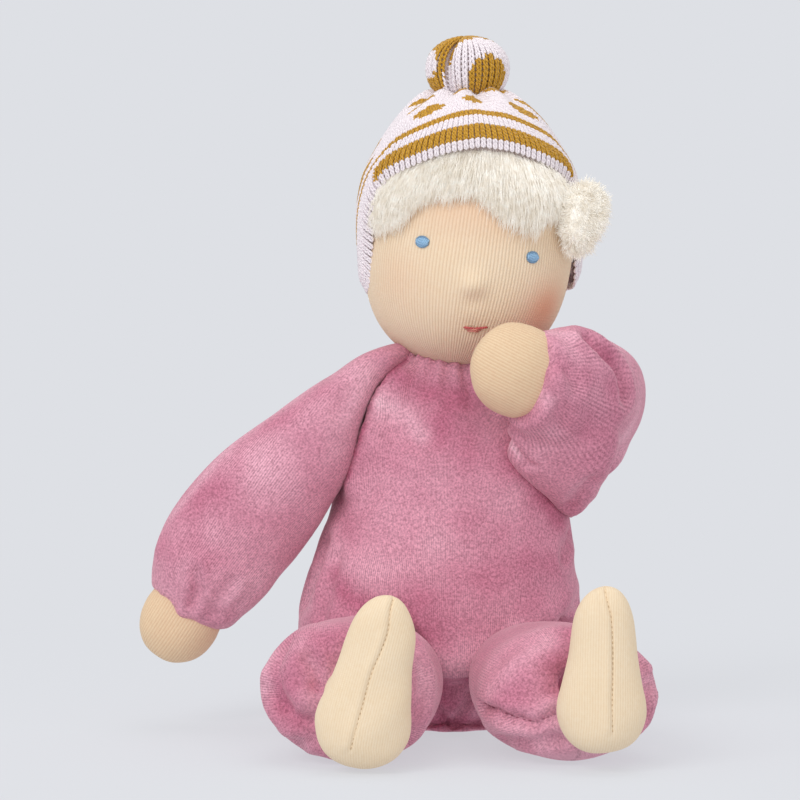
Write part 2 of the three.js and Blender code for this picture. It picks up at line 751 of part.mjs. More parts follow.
for (const side of sides) {
  const arm = arms[side];
  const forms = armForms(arm);
  const axis = bendAxis(arm);
  const shoulderSocket = socket(arm.shoulder, shoulderRadius);
  const backwards = (range) => [-range[1], -range[0]];
  const shoulderBack = backwards(shoulderRanges[side]);
  const torsoWay = sweptBy(torso.clear, arm.shoulder, shoulderAxes[side], shoulderBack, 2);
  const torsoBeside = torsoWay.subtract(ball(arm.shoulder, shoulderRadius));
  const elbowBack = backwards(elbowRanges[side]);
  const torsoBehind = sweptBy(torso.clear, arm.elbow, elbowAxes[side], elbowBack, 3);
  const elbowBall = socket(arm.elbow, elbowHalfWidth);
  const foreWay = bar(arm.elbow, arm.forearmHeading, forearmLength, sleeveHalfWidth + runningGap);
  const foreRoom = sweptBy(foreWay, arm.elbow, elbowAxes[side], elbowRanges[side], 3).add(elbowBall);
  const wristBall = socket(arm.wrist, wristHalfWidth - velourWall, armCount);
  const handWay = bar(arm.wrist, arm.handHeading, handLength, handHalfWidth + runningGap);
  const handRoom = sweptBy(handWay, arm.wrist, axis, wristRanges[side], 2).add(wristBall);
  torsoCutters.push(shoulderSocket);
  const upperHole = bar(arm.shoulder, arm.upperHeading.clone().negate(), overrun, wristHalfDepth);
  const foreHole = bar(arm.elbow, arm.forearmHeading.clone().negate(), overrun, wristHalfDepth);
  const handHole = bar(arm.wrist, arm.handHeading.clone().negate(), overrun, wristHalfDepth / 2, armCount);
  const upperCutters = [torsoBeside, foreRoom];
  const foreCutters = [torsoBehind, torsoWay, nodRoom, handRoom];
  const upperSkin = without(forms.upper.outer, [forms.upper.cavity, upperHole, ...upperCutters]);
  addPiece(`${side}_upper_sleeve`, upperSkin, rose);
  addPiece(`${side}_upper_arm_filling`, without(forms.upper.filling, upperCutters), wool);
  const lowerSkin = without(forms.fore.outer, [forms.fore.cavity, foreHole, ...foreCutters]);
  addPiece(`${side}_lower_sleeve`, lowerSkin, rose);
  addPiece(`${side}_forearm_filling`, without(forms.fore.filling, foreCutters), wool);
  addPiece(`${side}_hand_cover`, without(forms.hand.outer, [forms.hand.cavity, handHole, nodRoom]), skin);
  addPiece(`${side}_hand_filling`, without(forms.hand.filling, [nodRoom]), wool);
  const threadPlace = stepFrom(arm.wrist, arm.handHeading, threadRadius + seatGap);
  const threadHalfWidth = wristHalfWidth + threadRadius;
  const threadHalfDepth = wristHalfDepth + seatGap;
  addPiece(
    `${side}_wrist_thread`,
    threadRing(threadPlace, arm.across, arm.handHeading, threadHalfWidth, threadHalfDepth),
    roseThread,
  );
}

addPiece('torso_cover', without(torso.outer, [torso.cavity, ...torsoCutters]), rose);
addPiece('torso_filling', without(torso.filling, [neckSocket, ...torsoCutters]), wool);
addPiece('neck_stalk', neckStalk, wool);
addPiece('neck_thread', neckThread, whiteThread);

const headSkin = without(fused([head.outer, noseBump]), [headCavity, noseRoom, neckBore]);
addPiece('head_cover', headSkin, skin);
addPiece('head_core', without(headCore, [noseRoom, neckBore, eyeGroove]), wool);
addPiece('eye_line_thread', eyeThread, whiteThread);
addPiece('nose_bead', ball(noseBeadPlace, noseBeadRadius, beadCount), wool);
for (const [name, turn] of [['right_eye', faceTurn - eyeTurn], ['left_eye', faceTurn + eyeTurn]]) {
  const place = facePlace(turn, eyeShare);
  const eye = patch(place, outwardAt(place), eyeRadius, eyeRadius * eyeHeightShare, embroideryRise);
  addPiece(name, eye.subtract(head.reach), blueThread);
}
const mouthPlace = facePlace(mouthTurn, mouthShare);
const mouthHalfHeight = mouthHalfWidth * mouthHeightShare;
const mouth = patch(mouthPlace, outwardAt(mouthPlace), mouthHalfWidth, mouthHalfHeight, embroideryRise);
addPiece('mouth', mouth.subtract(head.reach), redThread);

addPiece('hair_fringe', without(solidForm(fringeForm), [head.reach, hatWay]), mohair);
addPiece('hair_side_tuft', without(solidForm(tuftForm), [head.reach, hatWay]), mohair);

addPiece('hat_crown', hatSolid, mustardKnit);
const bobbleHole = bar(bobbleFoot, hatAxis, bobbleRadius / 2, hatTieRadius / 2, bobbleCount);
addPiece('bobble_cover', without(bobble.outer, [bobble.cavity, bobbleHole]), mustardKnit);
addPiece('bobble_filling', bobble.filling, wool);
const tiePlace = stepFrom(headCentre, hatAxis, hatTopRise + hatTieLength / 2);
const tieThreadRadius = hatTieRadius + threadRadius + 2 * seatGap;
const hatTie = threadRing(tiePlace, hatAcross, hatAxis, tieThreadRadius, tieThreadRadius);
addPiece('hat_tie_thread', hatTie, whiteThread);

const doll = new THREE.Group();
doll.name = 'waldorf_doll';
doll.add(...pieces);

function jointEntry(name, place, axis, range) {
  return [name, { place, axis, range }];
}

const limbJoints = sides.flatMap((side) => [
  jointEntry(`${side}_shoulder`, arms[side].shoulder, shoulderAxes[side], shoulderRanges[side]),
  jointEntry(`${side}_elbow`, arms[side].elbow, elbowAxes[side], elbowRanges[side]),
  jointEntry(`${side}_wrist`, arms[side].wrist, bendAxis(arms[side]), wristRanges[side]),
  jointEntry(`${side}_hip`, legs[side].hip, tiltBack, hipRange),
  jointEntry(`${side}_ankle`, legs[side].ankle, tiltBack, ankleRange),
]);

// Hinges and the hat's slide: millimetres, and degrees for the hinges
doll.userData.joints = {
  neck_nod: { place: neckFoot, axis: tiltBack, range: nodRange },
  head_turn: { place: neckPivot, axis: headAxis, range: turnRange },
  hat_lift: { place: headCentre, axis: hatAxis, range: liftRange },
  ...Object.fromEntries(limbJoints),
};

export default doll;
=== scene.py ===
"""Dresses the frame of a sitting cloth doll: velour suit, jersey head and hands, mohair hair, knitted hat."""

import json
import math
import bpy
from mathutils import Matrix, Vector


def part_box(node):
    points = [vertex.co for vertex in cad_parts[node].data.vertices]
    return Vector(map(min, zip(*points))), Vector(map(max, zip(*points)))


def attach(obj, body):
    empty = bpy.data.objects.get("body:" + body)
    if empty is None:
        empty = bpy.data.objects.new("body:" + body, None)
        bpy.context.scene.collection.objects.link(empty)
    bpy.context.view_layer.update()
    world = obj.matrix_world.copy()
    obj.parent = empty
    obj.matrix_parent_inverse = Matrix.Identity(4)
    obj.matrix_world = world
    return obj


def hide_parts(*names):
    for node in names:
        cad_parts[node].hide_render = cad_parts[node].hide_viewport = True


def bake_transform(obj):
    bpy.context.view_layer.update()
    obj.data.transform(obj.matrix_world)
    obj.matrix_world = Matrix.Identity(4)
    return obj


bl_info = {
    "name": "Waldorf Doll",
    "version": (1, 0, 0),
    "blender": (4, 5, 0),
    "location": "3D View > Sidebar > Doll",
    "description": "Builds a sitting cloth doll with a velour suit, mohair hair and a knitted hat",
    "category": "Add Mesh",
}

import bmesh
import bpy
import numpy as np
from mathutils import Vector

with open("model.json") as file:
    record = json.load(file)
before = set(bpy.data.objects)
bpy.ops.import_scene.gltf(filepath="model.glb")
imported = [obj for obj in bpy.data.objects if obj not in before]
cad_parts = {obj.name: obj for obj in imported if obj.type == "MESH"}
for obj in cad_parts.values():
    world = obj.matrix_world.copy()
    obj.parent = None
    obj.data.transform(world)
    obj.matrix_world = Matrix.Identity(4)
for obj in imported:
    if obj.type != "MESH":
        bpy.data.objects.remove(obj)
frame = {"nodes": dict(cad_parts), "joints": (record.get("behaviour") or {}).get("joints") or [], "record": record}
MM = 0.001
IMAGE_SIDE = 800
FULL_TURN = 2 * math.pi
UP = np.array([0.0, 0.0, 1.0])
AHEAD = np.array([0.0, -1.0, 0.0])
SIDEWAYS = np.array([1.0, 0.0, 0.0])


# Places that the frame gives


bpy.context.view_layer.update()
JOINTS = {joint["name"]: joint for joint in frame["joints"]}


def pivot(name):
    """Where a hinge sits, in metres."""
    return np.array(JOINTS[name]["pos_m"], float)


def joint_axis(name):
    """The line that a joint turns about or slides along."""
    return unit(np.array(JOINTS[name]["axis"], float))


def unit(vector):
    """The same direction at length 1."""
    return vector / np.linalg.norm(vector)


def box_of(node):
    """Lowest and highest corner of a node, as arrays in metres."""
    low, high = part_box(node)
    return np.array(low), np.array(high)


HEAD_LOW, HEAD_HIGH = box_of("head_core")
HEAD_CENTRE = (HEAD_LOW + HEAD_HIGH) / 2
HEAD_AXIS = joint_axis("head_turn")
HEAD_ACROSS = unit(np.cross(-AHEAD, HEAD_AXIS))
HAT_AXIS = joint_axis("hat_lift")
HAT_ACROSS = unit(np.cross(-AHEAD, HAT_AXIS))


# Values that a user would change


class SuitSettings(bpy.types.PropertyGroup):
    """Sizes and colours of the velour suit."""

    nap_colour: bpy.props.StringProperty(
        name="Velour", description="sRGB hex of the brushed pile", default="BA6E86"
    )
    sheen_colour: bpy.props.StringProperty(
        name="Velour sheen", description="sRGB hex of the pile that lies towards the light", default="DDA7B7"
    )
    fold_depth: bpy.props.FloatProperty(
        name="Fold depth", description="How strongly the folds are pressed into the cloth", default=1.3,
        min=0.0, max=2.0, subtype="FACTOR",
    )
    cloth_pitch: bpy.props.FloatProperty(
        name="Cloth mesh", description="Edge length of the cloth's mesh", default=0.0016, unit="LENGTH"
    )


class SkinSettings(bpy.types.PropertyGroup):
    """Sizes and colours of the jersey skin and the feet."""

    rib_colour: bpy.props.StringProperty(
        name="Jersey rib", description="sRGB hex of the raised ribs", default="EFD9BC"
    )
    # The darker furrow colour is painted shade between the ribs
    furrow_shade_colour: bpy.props.StringProperty(
        name="Jersey furrow", description="sRGB hex between the ribs", default="E5CAAB"
    )
    foot_colour: bpy.props.StringProperty(
        name="Foot", description="sRGB hex of the feet", default="E9D5B8"
    )
    blush_colour: bpy.props.StringProperty(
        name="Blush", description="sRGB hex of the cheeks", default="E08C66"
    )
    rib_pitch: bpy.props.FloatProperty(
        name="Rib pitch", description="Distance between the jersey's ribs", default=0.00128, unit="LENGTH"
    )


class HatSettings(bpy.types.PropertyGroup):
    """Sizes and colours of the knitted hat and the hair."""

    mustard_colour: bpy.props.StringProperty(
        name="Mustard yarn", description="sRGB hex of the mustard yarn", default="C9972B"
    )
    white_colour: bpy.props.StringProperty(
        name="White yarn", description="sRGB hex of the white yarn", default="F3EAEE"
    )
    hair_colour: bpy.props.StringProperty(
        name="Mohair", description="sRGB hex of the hair", default="FAF7F1"
    )
    stitch_width: bpy.props.FloatProperty(
        name="Stitch width", description="Width of one stitch", default=0.0025, unit="LENGTH"
    )
    row_height: bpy.props.FloatProperty(
        name="Row height", description="Height of one row of stitches", default=0.0017, unit="LENGTH"
    )
    strand_count: bpy.props.IntProperty(
        name="Hairs", description="Strands in the fringe", default=9000, min=100
    )


# Mesh tools


def smooth_curve(values, count):
    """`count` values on a smooth curve through the rows of a table."""
    table = np.asarray(values, float)
    keys = np.arange(len(table), dtype=float)
    slopes = np.gradient(table, keys, axis=0)
    at = np.linspace(0, len(table) - 1, count)
    k = np.clip(at.astype(int), 0, len(table) - 2)
    t = (at - k)[:, None]
    first = (1 + 2 * t) * (1 - t) ** 2 * table[k] + t * (1 - t) ** 2 * slopes[k]
    return first + t**2 * (3 - 2 * t) * table[k + 1] + t**2 * (t - 1) * slopes[k + 1]


def loft(stations, across, rows, columns, along=None):
    """A grid of points round a centre line. Each station is x, y, z, half width and half depth, in metres."""
    path = smooth_curve(stations, rows)
    centres, wide, deep = path[:, :3], np.maximum(path[:, 3], 0), np.maximum(path[:, 4], 0)
    if along is None:
        tangents = np.gradient(centres, axis=0)
        for _ in range(3):
            tangents[1:-1] = (tangents[:-2] + 2 * tangents[1:-1] + tangents[2:]) / 4
    else:
        tangents = np.repeat(np.array([along], float), rows, axis=0)
    tangents /= np.linalg.norm(tangents, axis=1)[:, None]
    sides = across - (tangents @ across)[:, None] * tangents
    sides /= np.linalg.norm(sides, axis=1)[:, None]
    facing = np.cross(tangents, sides)
    turns = np.linspace(0, FULL_TURN, columns, endpoint=False)
    wide_part = sides[:, None] * (wide[:, None] * np.cos(turns))[..., None]
    deep_part = facing[:, None] * (deep[:, None] * np.sin(turns))[..., None]
    return centres[:, None] + wide_part + deep_part


def grid_normals(points):
    """Outward normals of a grid that closes round its columns."""
    round_way = np.roll(points, -1, axis=1) - np.roll(points, 1, axis=1)
    long_way = np.gradient(points, axis=0)
    normals = np.cross(round_way, long_way)
    normals /= np.maximum(np.linalg.norm(normals, axis=2), 1e-12)[..., None]
    outward = points - points.mean(axis=1, keepdims=True)
    return normals * np.sign((normals * outward).sum(axis=2).mean() or 1)


def grid_faces(rows, columns):
    """Quads of a grid that closes round its columns, with one point at each end."""
    lower = np.arange(rows - 1)[:, None] * columns
    k = np.arange(columns)[None, :]
    right = (k + 1) % columns
    quads = np.stack([lower + k, lower + right, lower + columns + right, lower + columns + k], axis=-1)
    return quads.reshape(-1, 4)


def mesh_object(name, vertices, faces, uvs=None):
    """A mesh object from arrays. uvs holds one pair for each face corner."""
    mesh = bpy.data.meshes.new(name)
    mesh.from_pydata(vertices.reshape(-1, 3).tolist(), [], faces.tolist())
    if uvs is not None:
        layer = mesh.uv_layers.new(name="cloth")
        layer.data.foreach_set("uv", np.asarray(uvs, np.float32).ravel())
    mesh.polygons.foreach_set("use_smooth", np.ones(len(faces), bool))
    mesh.update()
    made = bpy.data.objects.new(name, mesh)
    bpy.context.scene.collection.objects.link(made)
    return made


def front_arcs(points):
    """Metres round each ring from its foremost column to the start of each step, and each step's length."""
    columns = points.shape[1]
    front = int(np.argmin(points[len(points) // 2, :, 1]))
    steps = np.linalg.norm(np.roll(points, -1, axis=1) - points, axis=2)
    order = (np.arange(columns) + front) % columns
    walked = np.cumsum(steps[:, order], axis=1) - steps[:, order]
    total = steps.sum(axis=1, keepdims=True)
    starts = np.empty_like(steps)
    starts[:, order] = walked - total * (walked > total / 2)
    return starts, steps


def grid_object(name, points, straight=False):
    """A closed skin over a grid, with uv in metres round and along, or straight down from its front."""
    rows, columns = points.shape[:2]
    faces = grid_faces(rows, columns)
    girth = np.linalg.norm(np.roll(points, -1, axis=1) - points, axis=2).sum(axis=1).max()
    rows_apart = np.linalg.norm(np.diff(points.mean(axis=1), axis=0), axis=1)
    slope = np.linalg.norm(np.diff(points, axis=0), axis=2).mean(axis=1)
    length = np.concatenate([[0], np.cumsum(np.maximum(rows_apart, slope))])
    row = np.repeat(np.arange(rows - 1), columns)
    column = np.tile(np.arange(columns), rows - 1)
    u = np.stack([column, column + 1, column + 1, column], axis=-1) * (girth / columns)
    if straight:
        starts, steps = front_arcs(points)
        lower, upper = starts[:-1].ravel(), starts[1:].ravel()
        u = np.stack([lower, lower + steps[:-1].ravel(), upper + steps[1:].ravel(), upper], axis=-1)
    v = np.stack([length[row], length[row], length[row + 1], length[row + 1]], axis=-1)
    made = mesh_object(name, points, faces, np.stack([u, v], axis=-1))
    shell = bmesh.new()
    shell.from_mesh(made.data)
    bmesh.ops.remove_doubles(shell, verts=shell.verts, dist=1e-6)
    rims = [edge for edge in shell.edges if edge.is_boundary]
    if rims:
        bmesh.ops.holes_fill(shell, edges=rims)
    bmesh.ops.recalc_face_normals(shell, faces=shell.faces)
    shell.to_mesh(made.data)
    shell.free()
    return made


def positions(piece):
    """The vertices of a piece as an array."""
    flat = np.empty(len(piece.data.vertices) * 3)
    piece.data.vertices.foreach_get("co", flat)
    return flat.reshape(-1, 3)


def vertex_normals(piece):
    """The vertex normals of a piece as an array."""
    flat = np.empty(len(piece.data.vertices) * 3)
    piece.data.vertex_normals.foreach_get("vector", flat)
    return flat.reshape(-1, 3)


def move_to(piece, points):
    """Puts the vertices of a piece at new places."""
    piece.data.vertices.foreach_set("co", points.ravel())
    piece.data.update()


def apply_modifiers(piece):
    """Leaves a piece with its modified mesh and no modifier."""
    graph = bpy.context.evaluated_depsgraph_get()
    final = bpy.data.meshes.new_from_object(piece.evaluated_get(graph))
    piece.modifiers.clear()
    piece.data = final
    final.polygons.foreach_set("use_smooth", np.ones(len(final.polygons), bool))


def remeshed(piece, pitch, smoothing=8):
    """An even mesh over a piece that may cross itself, then relaxed."""
    remesh = piece.modifiers.new("remesh", "REMESH")
    remesh.mode = "VOXEL"
    remesh.voxel_size = pitch
    relax = piece.modifiers.new("relax", "SMOOTH")
    relax.factor = 0.5
    relax.iterations = smoothing
    apply_modifiers(piece)
    return piece


def united(pieces):
    """Several closed meshes as one object."""
    first, *others = pieces
    whole = bmesh.new()
    for piece in pieces:
        whole.from_mesh(piece.data)
    whole.to_mesh(first.data)
    whole.free()
    for piece in others:
        bpy.data.objects.remove(piece)
    return first


def keep_rest(piece):
    """Stores where each point is at rest, so that a pattern stays on the cloth when it bends."""
    rest = piece.data.attributes.new("rest", "FLOAT_VECTOR", "POINT")
    rest.data.foreach_set("vector", positions(piece).ravel().astype(np.float32))


def store(piece, name, values):
    """Stores one number for each vertex."""
    kept = piece.data.attributes.new(name, "FLOAT", "POINT")
    kept.data.foreach_set("value", np.asarray(values, np.float32))


def ripple(points, size, seed, waves=7):
    """A smooth random swell between about -1 and 1 with bumps of the given size."""
    rng = np.random.default_rng(seed)
    total = np.zeros(len(points))
    for _ in range(waves):
        direction = unit(rng.normal(size=3))
        pitch = size * rng.uniform(1.4, 3.0)
        total += np.sin(points @ direction * FULL_TURN / pitch + rng.uniform(0, FULL_TURN))
    return total / math.sqrt(waves) / 1.4


def pleats(turns, count, seed):
    """Uneven folds round a tie, between -1 in a valley and 1 on a crest."""
    rng = np.random.default_rng(seed)
    total = np.zeros_like(turns)
    for number in (count, count - 3, count + 4):
        total += rng.uniform(0.5, 1) * np.cos(number * turns + rng.uniform(0, FULL_TURN))
    return np.tanh(total * 1.3)


def near(distance, width):
    """1 at a line, falling softly to 0 over a width."""
    return np.exp(-((distance / width) ** 2))


# Camera: the photograph's view. Pixels of the photograph are named where a fold is placed by one.

VIEW_TARGET = np.array([-0.018, 0.0, 0.117])
VIEW_DISTANCE = 1.3
VIEW_RISE = math.radians(3)
VIEW_WIDTH = 0.288
SENSOR = 36.0
LENS = SENSOR * VIEW_DISTANCE / VIEW_WIDTH
LOOK = np.array([0, math.cos(VIEW_RISE), -math.sin(VIEW_RISE)])
LOOK_UP = np.array([0, math.sin(VIEW_RISE), math.cos(VIEW_RISE)])
VIEW_PLACE = VIEW_TARGET - LOOK * VIEW_DISTANCE


def to_pixels(points):
    """Where points of the frame show in the photograph."""
    away = points - VIEW_PLACE
    scale = LENS / SENSOR * IMAGE_SIDE / (away @ LOOK)
    middle = IMAGE_SIDE / 2
    return np.stack([middle + away[:, 0] * scale, middle - (away @ LOOK_UP) * scale], axis=-1)


def from_pixel(pixel, y):
    """The place at a given Y that shows at a pixel of the photograph."""
    middle = IMAGE_SIDE / 2
    scale = SENSOR / LENS / IMAGE_SIDE
    way = LOOK + SIDEWAYS * (pixel[0] - middle) * scale + LOOK_UP * (middle - pixel[1]) * scale
    return VIEW_PLACE + way * (y - VIEW_PLACE[1]) / way[1]


def line_on(piece, pixels):
    """The line on a piece's near side that runs through pixels of the photograph."""
    points = positions(piece)
    shown = points[vertex_normals(piece) @ LOOK < -0.05]
    seen = to_pixels(shown)
    dense = smooth_curve(pixels, 6 * len(pixels))
    found = [shown[np.argmin(((seen - pixel) ** 2).sum(axis=1))] for pixel in dense]
    return np.array(found)


def distance_to(points, line):
    """How far each point is from a line of points."""
    best = np.full(len(points), np.inf)
    for start, end in zip(line[:-1], line[1:]):
        way = end - start
        size = way @ way
        share = np.clip((points - start) @ way / size, 0, 1) if size > 1e-14 else np.zeros(len(points))
        gap = np.linalg.norm(points - (start + share[:, None] * way), axis=1)
        best = np.minimum(best, gap)
    return best


# The soft lips beside a fold: their place and width in fold widths, and their height in fold depths
LIP_PLACE = 2.0
LIP_WIDTH = 1.1
LIP_RISE = 0.45


def crease(piece, line, width, depth):
    """Presses a fold into the cloth along a line and lifts a soft lip on both sides."""
    points = positions(piece)
    gap = distance_to(points, line)
    lips = near(gap - LIP_PLACE * width, width * LIP_WIDTH) * LIP_RISE
    push = (lips - near(gap, width)) * depth
    move_to(piece, points + vertex_normals(piece) * push[:, None])


def photo_creases(piece, folds, strength):
    """Presses in the folds that the photograph shows. Each is pixels, a width and a depth in millimetres."""
    for pixels, width, depth in folds:
        crease(piece, line_on(piece, pixels), width * MM, depth * MM * strength)


# Furthest that the painted shade and the painted light on the pile reach, darker and paler
PAINTED_LIGHT_LIMITS = (-1.8, 1.2)
# How softly the columns of the knit fade out
WALE_FADE = 12 * MM


def paint_light_and_shade(piece, strokes):
    """Stores painted light and painted shade on the pile, from strokes: pixels, a width in millimetres and an
    amount.
    """
    points = positions(piece)
    # Amounts above 0 paint light on the pile (highlights, sheen at edges), below 0 paint shade and shadow in
    # creases
    lean = np.zeros(len(points))
    for pixels, width, amount in strokes:
        lean += near(distance_to(points, line_on(piece, pixels)), width * MM) * amount
    store(piece, "painted_light", np.clip(lean, *PAINTED_LIGHT_LIMITS))


def count_wales(piece, centre, way, front, radius, reach=None):
    """Stores metres round a form from its front, for the columns of the knit, which fade beyond a reach."""
    side = unit(np.cross(way, front))
    away = positions(piece) - centre
    store(piece, "wale", np.arctan2(away @ side, away @ np.cross(side, way)) * radius)
    shown = np.ones(len(away))
    if reach is not None:
        shown = np.clip((reach - np.linalg.norm(away, axis=1)) / WALE_FADE, 0, 1)
    store(piece, "wale_share", shown)


def seam_stitches(name, piece, pixels, slot, finish, length=1.3 * MM, gap=0.9 * MM, radius=0.16 * MM):
    """Small stitches along a seam on a piece's near side."""
    line = line_on(piece, pixels)
    for _ in range(6):
        line[1:-1] = (line[:-2] + 2 * line[1:-1] + line[2:]) / 4
    walked = np.concatenate([[0], np.cumsum(np.linalg.norm(np.diff(line, axis=0), axis=1))])
    share = np.linspace(0, 1, 6)
    paths = []
    for start in np.arange(0, walked[-1] - length, length + gap):
        at = start + length * share
        place = np.stack([np.interp(at, walked, line[:, k]) for k in range(3)], axis=-1)
        paths.append(place + AHEAD * (np.sin(share * math.pi) * 2 * radius)[:, None] - AHEAD * radius)
    return dress(tubes(name, paths, radius, 6), slot, finish)


# Materials


def linear(text, alpha=1.0):
    """A colour from an sRGB hex."""
    parts = [int(text[k : k + 2], 16) / 255 for k in (0, 2, 4)]
    return (*[p / 12.92 if p <= 0.04045 else ((p + 0.055) / 1.055) ** 2.4 for p in parts], alpha)


def add_node(tree, kind, links=None, **settings):
    """Adds a node with its settings, its values and its links. A linked node gives its first output."""
    node = tree.nodes.new(kind)
    for name, value in settings.items():
        setattr(node, name, value)
    for name, value in (links or {}).items():
        socket = node.inputs[name]
        if isinstance(value, bpy.types.Node):
            value = value.outputs[0]
        if isinstance(value, bpy.types.NodeSocket):
            tree.links.new(value, socket)
        else:
            socket.default_value = value
    return node


def new_material(name):
    """An empty material and its node tree."""
    material = bpy.data.materials.new(name)
    material.use_nodes = True
    material.node_tree.nodes.clear()
    return material, material.node_tree


def finish_material(tree, shader):
    """Joins a shader to the output."""
    add_node(tree, "ShaderNodeOutputMaterial", {"Surface": shader})


# Sizes of what shows in each finish. They start from the real ones, and what would be too fine to show in the
# picture is drawn coarser, as said beside it.
PILE_GRAIN = 0.8 * MM  # tips of pile stand about 0.3 mm apart, drawn coarser
KNIT_COLUMN = 0.9 * MM  # the velour's ground has about 11 columns to the centimetre
BRUSHED_PATCH = 16 * MM  # about a fingertip, as a hand leaves the pile lying
BRUSHED_SWEEP = 40 * MM  # about two fingers
RIB_WAVER = 6 * MM  # the stuffing pushes the ribs a little out of line at this distance
COTTON_FUZZ = 1.2 * MM  # fibre ends stand about 0.3 mm apart, drawn coarser
SKIN_CLOUD = 20 * MM
YARN_FUZZ = 1.1 * MM  # wool fibres stand about 0.2 mm apart, drawn coarser
HAIR_CLOUD = 2.8 * MM
WOOL_TUFT = 4 * MM
THREAD_PLY = 0.8 * MM  # plies of sewing and embroidery thread are about 0.2 mm, drawn coarser
TIE_PLY = 0.9 * MM
YARN_PLY = 1.4 * MM
FOOT_RIB = 0.9 * MM
HAND_RIB = 1.1 * MM
BLACK = (0.0, 0.0, 0.0, 1.0)
WHITE = (1.0, 1.0, 1.0, 1.0)
PILE_DEEP = (0.68, 0.64, 0.66, 1.0)
PILE_TIP = (1.28, 1.28, 1.28, 1.0)


def velour(name, pile, sheen):
    """Brushed cotton velour: a short pile over fine knit columns.

    The pile is paler, towards its sheen colour, and deeper in soft random patches, and carries painted highlights
    and painted shade laid on by strokes.
    """
    material, tree = new_material(name)
    rest = add_node(tree, "ShaderNodeAttribute", attribute_name="rest").outputs["Vector"]
    # Painted light and painted shade laid on the pile by strokes
    painted_light = add_node(tree, "ShaderNodeAttribute", attribute_name="painted_light").outputs["Fac"]
    wale = add_node(tree, "ShaderNodeAttribute", attribute_name="wale").outputs["Fac"]
    shown = add_node(tree, "ShaderNodeAttribute", attribute_name="wale_share").outputs["Fac"]
    patches = add_node(
        tree, "ShaderNodeTexNoise", {"Vector": rest, "Scale": 1 / BRUSHED_PATCH, "Detail": 1.0}
    ).outputs[0]
    sweep = add_node(
        tree, "ShaderNodeTexNoise", {"Vector": rest, "Scale": 1 / BRUSHED_SWEEP, "Detail": 1.0}
    ).outputs[0]
    grain = add_node(
        tree, "ShaderNodeTexNoise", {"Vector": rest, "Scale": 1 / PILE_GRAIN, "Detail": 2.0, "Roughness": 0.6}
    ).outputs[0]

    # The knit's columns show through where the pile is thin
    columns = add_node(tree, "ShaderNodeMath", {0: wale, 1: FULL_TURN / KNIT_COLUMN}, operation="MULTIPLY")
    columns = add_node(tree, "ShaderNodeMath", {0: columns}, operation="SINE")
    thin = add_node(tree, "ShaderNodeMapRange", {"Value": patches, "From Min": 0.35, "From Max": 0.65})
    thin = add_node(tree, "ShaderNodeMath", {0: shown, 1: thin}, operation="MULTIPLY")
    columns = add_node(tree, "ShaderNodeMath", {0: columns, 1: thin}, operation="MULTIPLY").outputs[0]

    # How pale the pile is painted, from random patches and from painted light and shade: 0 is its own colour, 1
    # its sheen, beyond 1 a painted highlight, below 0 painted shade
    lean = add_node(tree, "ShaderNodeMath", {0: patches, 1: 0.4}, operation="MULTIPLY")
    lean = add_node(tree, "ShaderNodeMath", {0: sweep, 1: 0.6, 2: lean}, operation="MULTIPLY_ADD")
    lean = add_node(tree, "ShaderNodeMapRange", {"Value": lean, "From Min": 0.28, "From Max": 0.74})
    lean = add_node(tree, "ShaderNodeMath", {0: painted_light, 1: 0.55, 2: lean}, operation="MULTIPLY_ADD").outputs[0]
    # F6D9E1 is a painted highlight and 8E4058 painted shade
    colour = linear(pile)
    for low, high, reached in ((0.0, 1.0, sheen), (1.0, 1.9, "F6D9E1"), (-0.1, -0.9, "8E4058")):
        share = add_node(tree, "ShaderNodeMapRange", {"Value": lean, "From Min": low, "From Max": high})
        colour = add_node(
            tree, "ShaderNodeMix", {0: share, 6: colour, 7: linear(reached)}, data_type="RGBA"
        ).outputs[2]

    # Single tips of pile and columns, as specks and as relief
    tips = add_node(tree, "ShaderNodeMapRange", {"Value": grain, "From Min": 0.3, "From Max": 0.7})
    speck = add_node(tree, "ShaderNodeMath", {0: columns, 1: 0.3, 2: tips}, operation="MULTIPLY_ADD")
    speck = add_node(tree, "ShaderNodeMix", {0: speck, 6: PILE_DEEP, 7: PILE_TIP}, data_type="RGBA")
    colour = add_node(
        tree, "ShaderNodeMix", {0: 1.0, 6: colour, 7: speck.outputs[2]}, data_type="RGBA",
        blend_type="MULTIPLY",
    ).outputs[2]
    relief = add_node(tree, "ShaderNodeMath", {0: columns, 1: 0.15, 2: grain}, operation="MULTIPLY_ADD")
    bump = add_node(tree, "ShaderNodeBump", {"Height": relief, "Strength": 0.6, "Distance": 0.5 * MM})
    links = {
        "Base Color": colour, "Roughness": 0.92, "Specular IOR Level": 0.15, "Sheen Weight": 0.55,
        "Sheen Roughness": 0.4, "Sheen Tint": linear("F3C9D3"), "Normal": bump,
    }
    finish_material(tree, add_node(tree, "ShaderNodeBsdfPrincipled", links))
    return material


